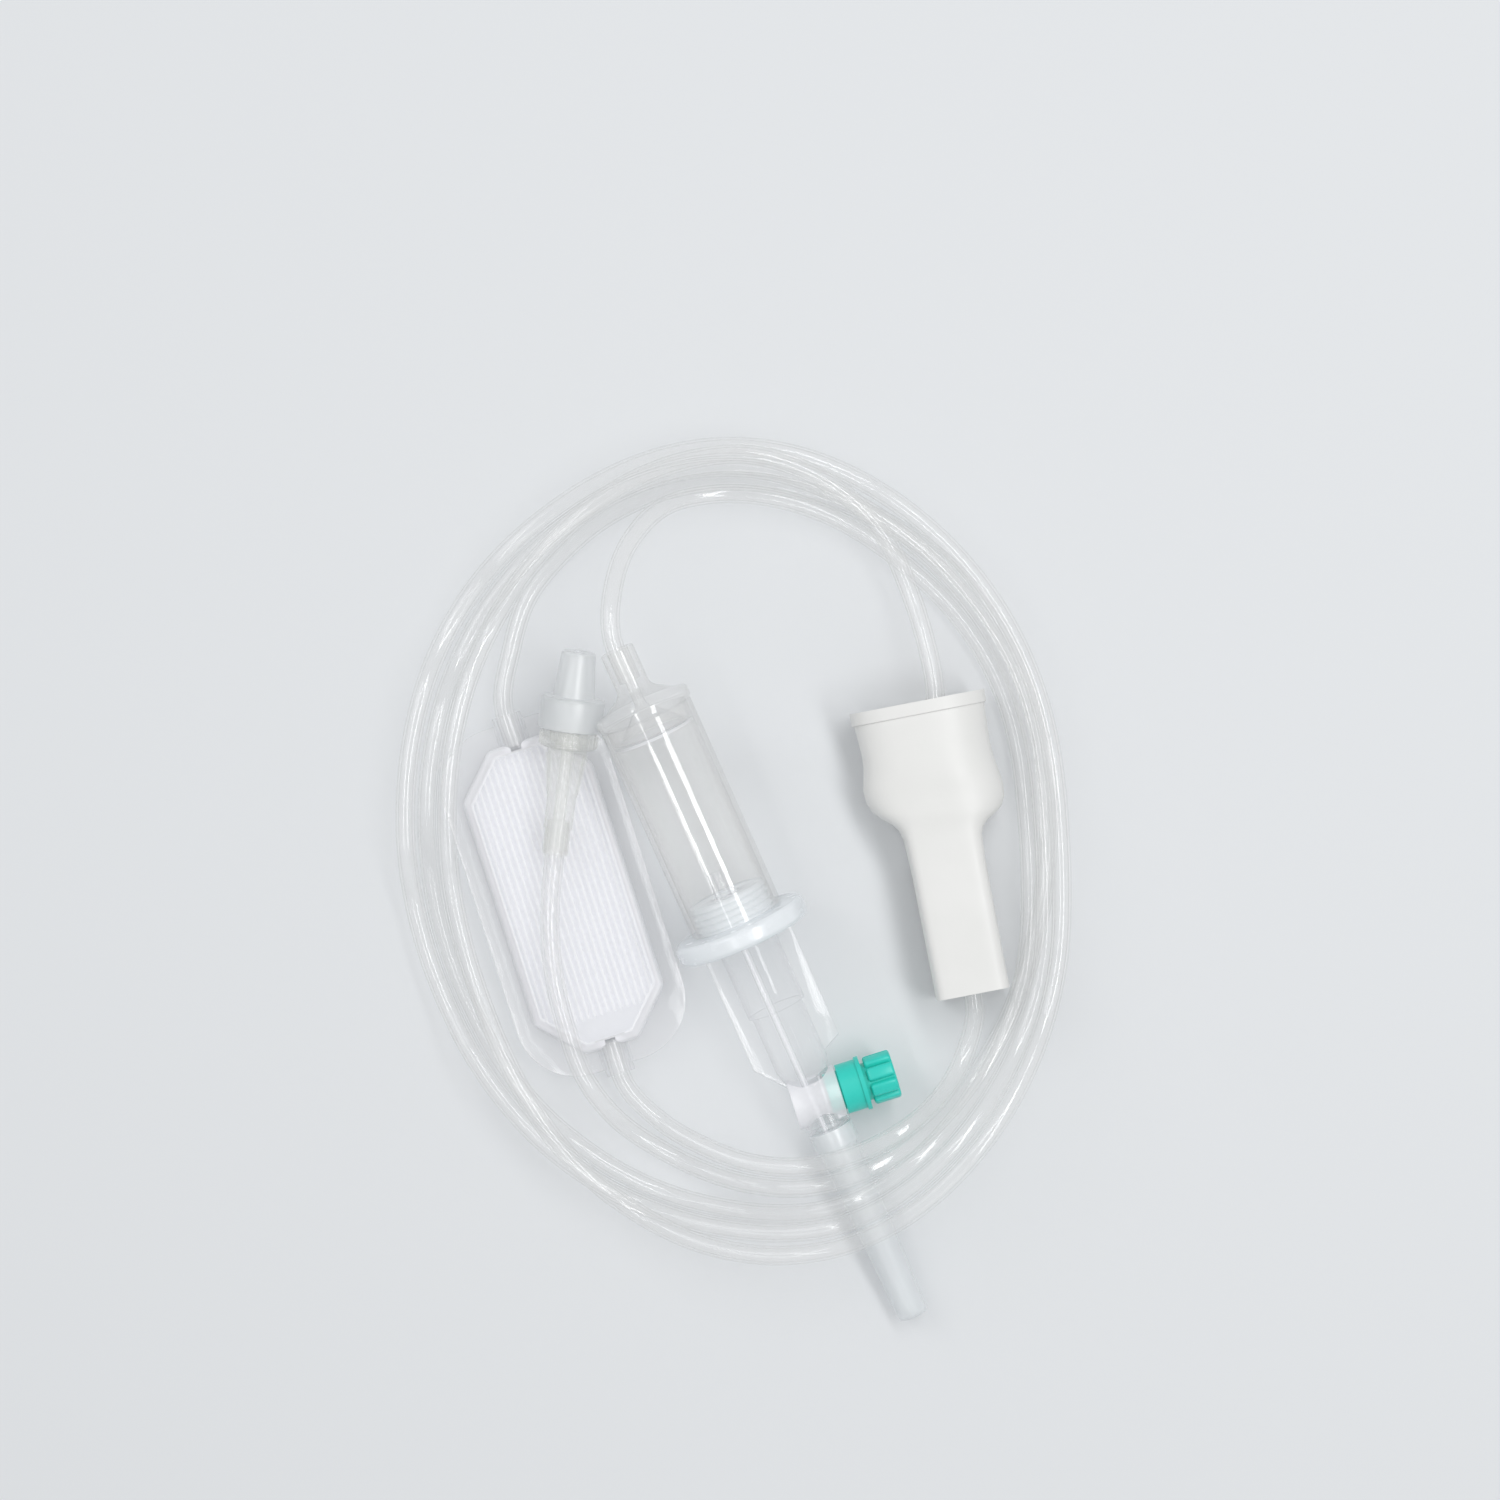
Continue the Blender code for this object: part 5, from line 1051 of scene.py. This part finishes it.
# %% [markdown]
# The roller runs in a channel that is open below. The channel's ceiling ramps down towards the
# tail, so that the roller squeezes the tube as it travels.
# %% Clamp's channel
CHANNEL_HALF_WIDTH = 0.0061
CEILING_OPEN = 0.0156
CEILING_SHUT = 0.0118
ROLLER_START = 0.0375
ROLLER_END = 0.0565
CLAMP_PAST_END = 0.0630
channel = block(
    "channel", (0.0270, -CHANNEL_HALF_WIDTH, -0.001),
    (CLAMP_PAST_END, CHANNEL_HALF_WIDTH, CEILING_OPEN),
)
cut_off(channel, ((ROLLER_START, 0.0, CEILING_OPEN),
                  (CEILING_OPEN - CEILING_SHUT, 0.0, ROLLER_END - ROLLER_START)))
tail_room = block(
    "tail_room", (0.0560, -CHANNEL_HALF_WIDTH, -0.001),
    (CLAMP_PAST_END, CHANNEL_HALF_WIDTH, CEILING_SHUT),
)
cut_or_join(channel, tail_room, "UNION")
cut_or_join(body, channel, "DIFFERENCE")
print("ramp falls", round(CEILING_OPEN - CEILING_SHUT, 4), "m")

# %% [markdown]
# Two long slots hold the roller's axle, and the sides are cut away below them so that a thumb
# reaches the roller. The tube comes into the channel through a hole in the cup's floor.
# %% Clamp's slots and tube hole
TUBE_HEIGHT = 0.01325
slot = block("slot", (ROLLER_START - 0.0016, -0.02, 0.0039), (ROLLER_END + 0.0016, 0.02, 0.0071))
rounded(slot, 0.00155, 8, 60.0)
cut_or_join(body, slot, "DIFFERENCE")
scallop = block(
    "scallop", (ROLLER_START - 0.0036, -0.02, -0.001), (ROLLER_END + 0.0036, 0.02, 0.0022)
)
cut_or_join(body, scallop, "DIFFERENCE")
hole = bar("tube_hole", TUBE_FIT, 0.0225, 0.0280)
lying = Matrix.Rotation(math.radians(90.0), 4, "Y")
hole.data.transform(Matrix.Translation((0.0, 0.0, TUBE_HEIGHT)) @ lying)
cut_or_join(body, hole, "DIFFERENCE")
finished(body, CLAMP, CLAMP_WHITE, "root", "clamp_body", smooth=40.0)

# %% [markdown]
# The luer lock end wears a cap with a slim cone. A hub inside the cap closes over the male cone.
# %% Luer cap
cap_end = 0.0165
cap_floor = 0.0106
hub_end = cap_end - 0.0008
collar_front = cap_end + GAP
male_front = collar_front - 0.0062
luer_cap = turned("luer_cover", [
    (0.0060, cap_end), (0.0067, cap_end), (0.0067, 0.0101), (0.0063, 0.0097), (0.0044, 0.0097),
    (0.0036, 0.0004), (0.0032, 0.0), (0.0012, 0.0), (0.0012, 0.0011), (0.00202, 0.0011),
    (0.0028, male_front - 0.0013), (0.0028, hub_end), (0.0035, hub_end), (0.0035, cap_floor),
    (0.0060, cap_floor),
])
rounded(luer_cap, 0.0002)
finished(luer_cap, LUER, CAP_MILK, "luer_cap", "luer_cap")

# %% [markdown]
# The lock collar turns freely behind the cap, and fine grips stand round it.
# %% Lock collar
COLLAR_GRIPS = 24
collar_end = collar_front + 0.0035
collar = turned("lock_collar", [
    (0.0029, collar_end), (0.0055, collar_end), (0.0059, collar_end - 0.0004),
    (0.0059, collar_front + 0.0004), (0.0055, collar_front), (0.0040, collar_front),
    (0.0040, collar_end - 0.0010), (0.0029, collar_end - 0.0010),
])
for grip in range(COLLAR_GRIPS):
    strip = block(
        "strip", (0.0053, -0.0003, collar_front + 0.0006), (0.0062, 0.0003, collar_end - 0.0006)
    )
    strip.data.transform(turn_about_z(360.0 / COLLAR_GRIPS * grip))
    cut_or_join(collar, strip, "UNION")
finished(collar, LUER, WARM_CLEAR, "luer_collar", "luer_collar")

# %% [markdown]
# The adapter is the male cone in front, a body that tapers back with ribs to hold it by, and the
# socket that takes the tube. The ribs grow lower towards the tube.
# %% Luer adapter
ADAPTER_RIBS = 10
grip_start = collar_end + GAP
step_start = grip_start + 0.0098
end_start = step_start + 0.0069
adapter_end = end_start + 0.0055
adapter = turned("adapter_body", [
    (TUBE_FIT, adapter_end), (0.0027, adapter_end), (0.0027, end_start), (0.0030, end_start),
    (0.0030, step_start), (0.0032, step_start), (0.0042, grip_start), (0.0026, grip_start),
    (0.0026, male_front + 0.0087), (0.0022, male_front + 0.0075), (0.00197, male_front),
    (FLOW_BORE, male_front), (FLOW_BORE, adapter_end - TUBE_SOCKET),
    (TUBE_FIT, adapter_end - TUBE_SOCKET),
])
for rib in range(ADAPTER_RIBS):
    strip = block(
        "strip", (0.0026, -0.0003, grip_start + 0.0012), (0.0044, 0.0003, step_start - 0.0006)
    )
    for corner in strip.data.vertices:
        if corner.co.x > 0.004 and corner.co.z > grip_start + 0.005:
            corner.co.x = 0.0034
    strip.data.transform(turn_about_z(360.0 / ADAPTER_RIBS * rib))
    cut_or_join(adapter, strip, "UNION")
finished(adapter, LUER, WARM_CLEAR, "root", "luer_adapter")

# %% [markdown]
# The membranes, discs and the roller keep the shape of the plain model, and take their finish.
# %% Finishes of the kept pieces
for node, material in (
    ("filter_membrane", FELT), ("filter_air_vent_1", FELT), ("filter_air_vent_2", FELT),
    ("vent_filter", FELT), ("fluid_filter", FELT), ("luer_cap_membrane", FELT),
    ("clamp_roller", CLAMP_WHITE),
):
    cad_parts[node].data.materials.clear()
    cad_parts[node].data.materials.append(material)
    print(node, "takes", material.name)
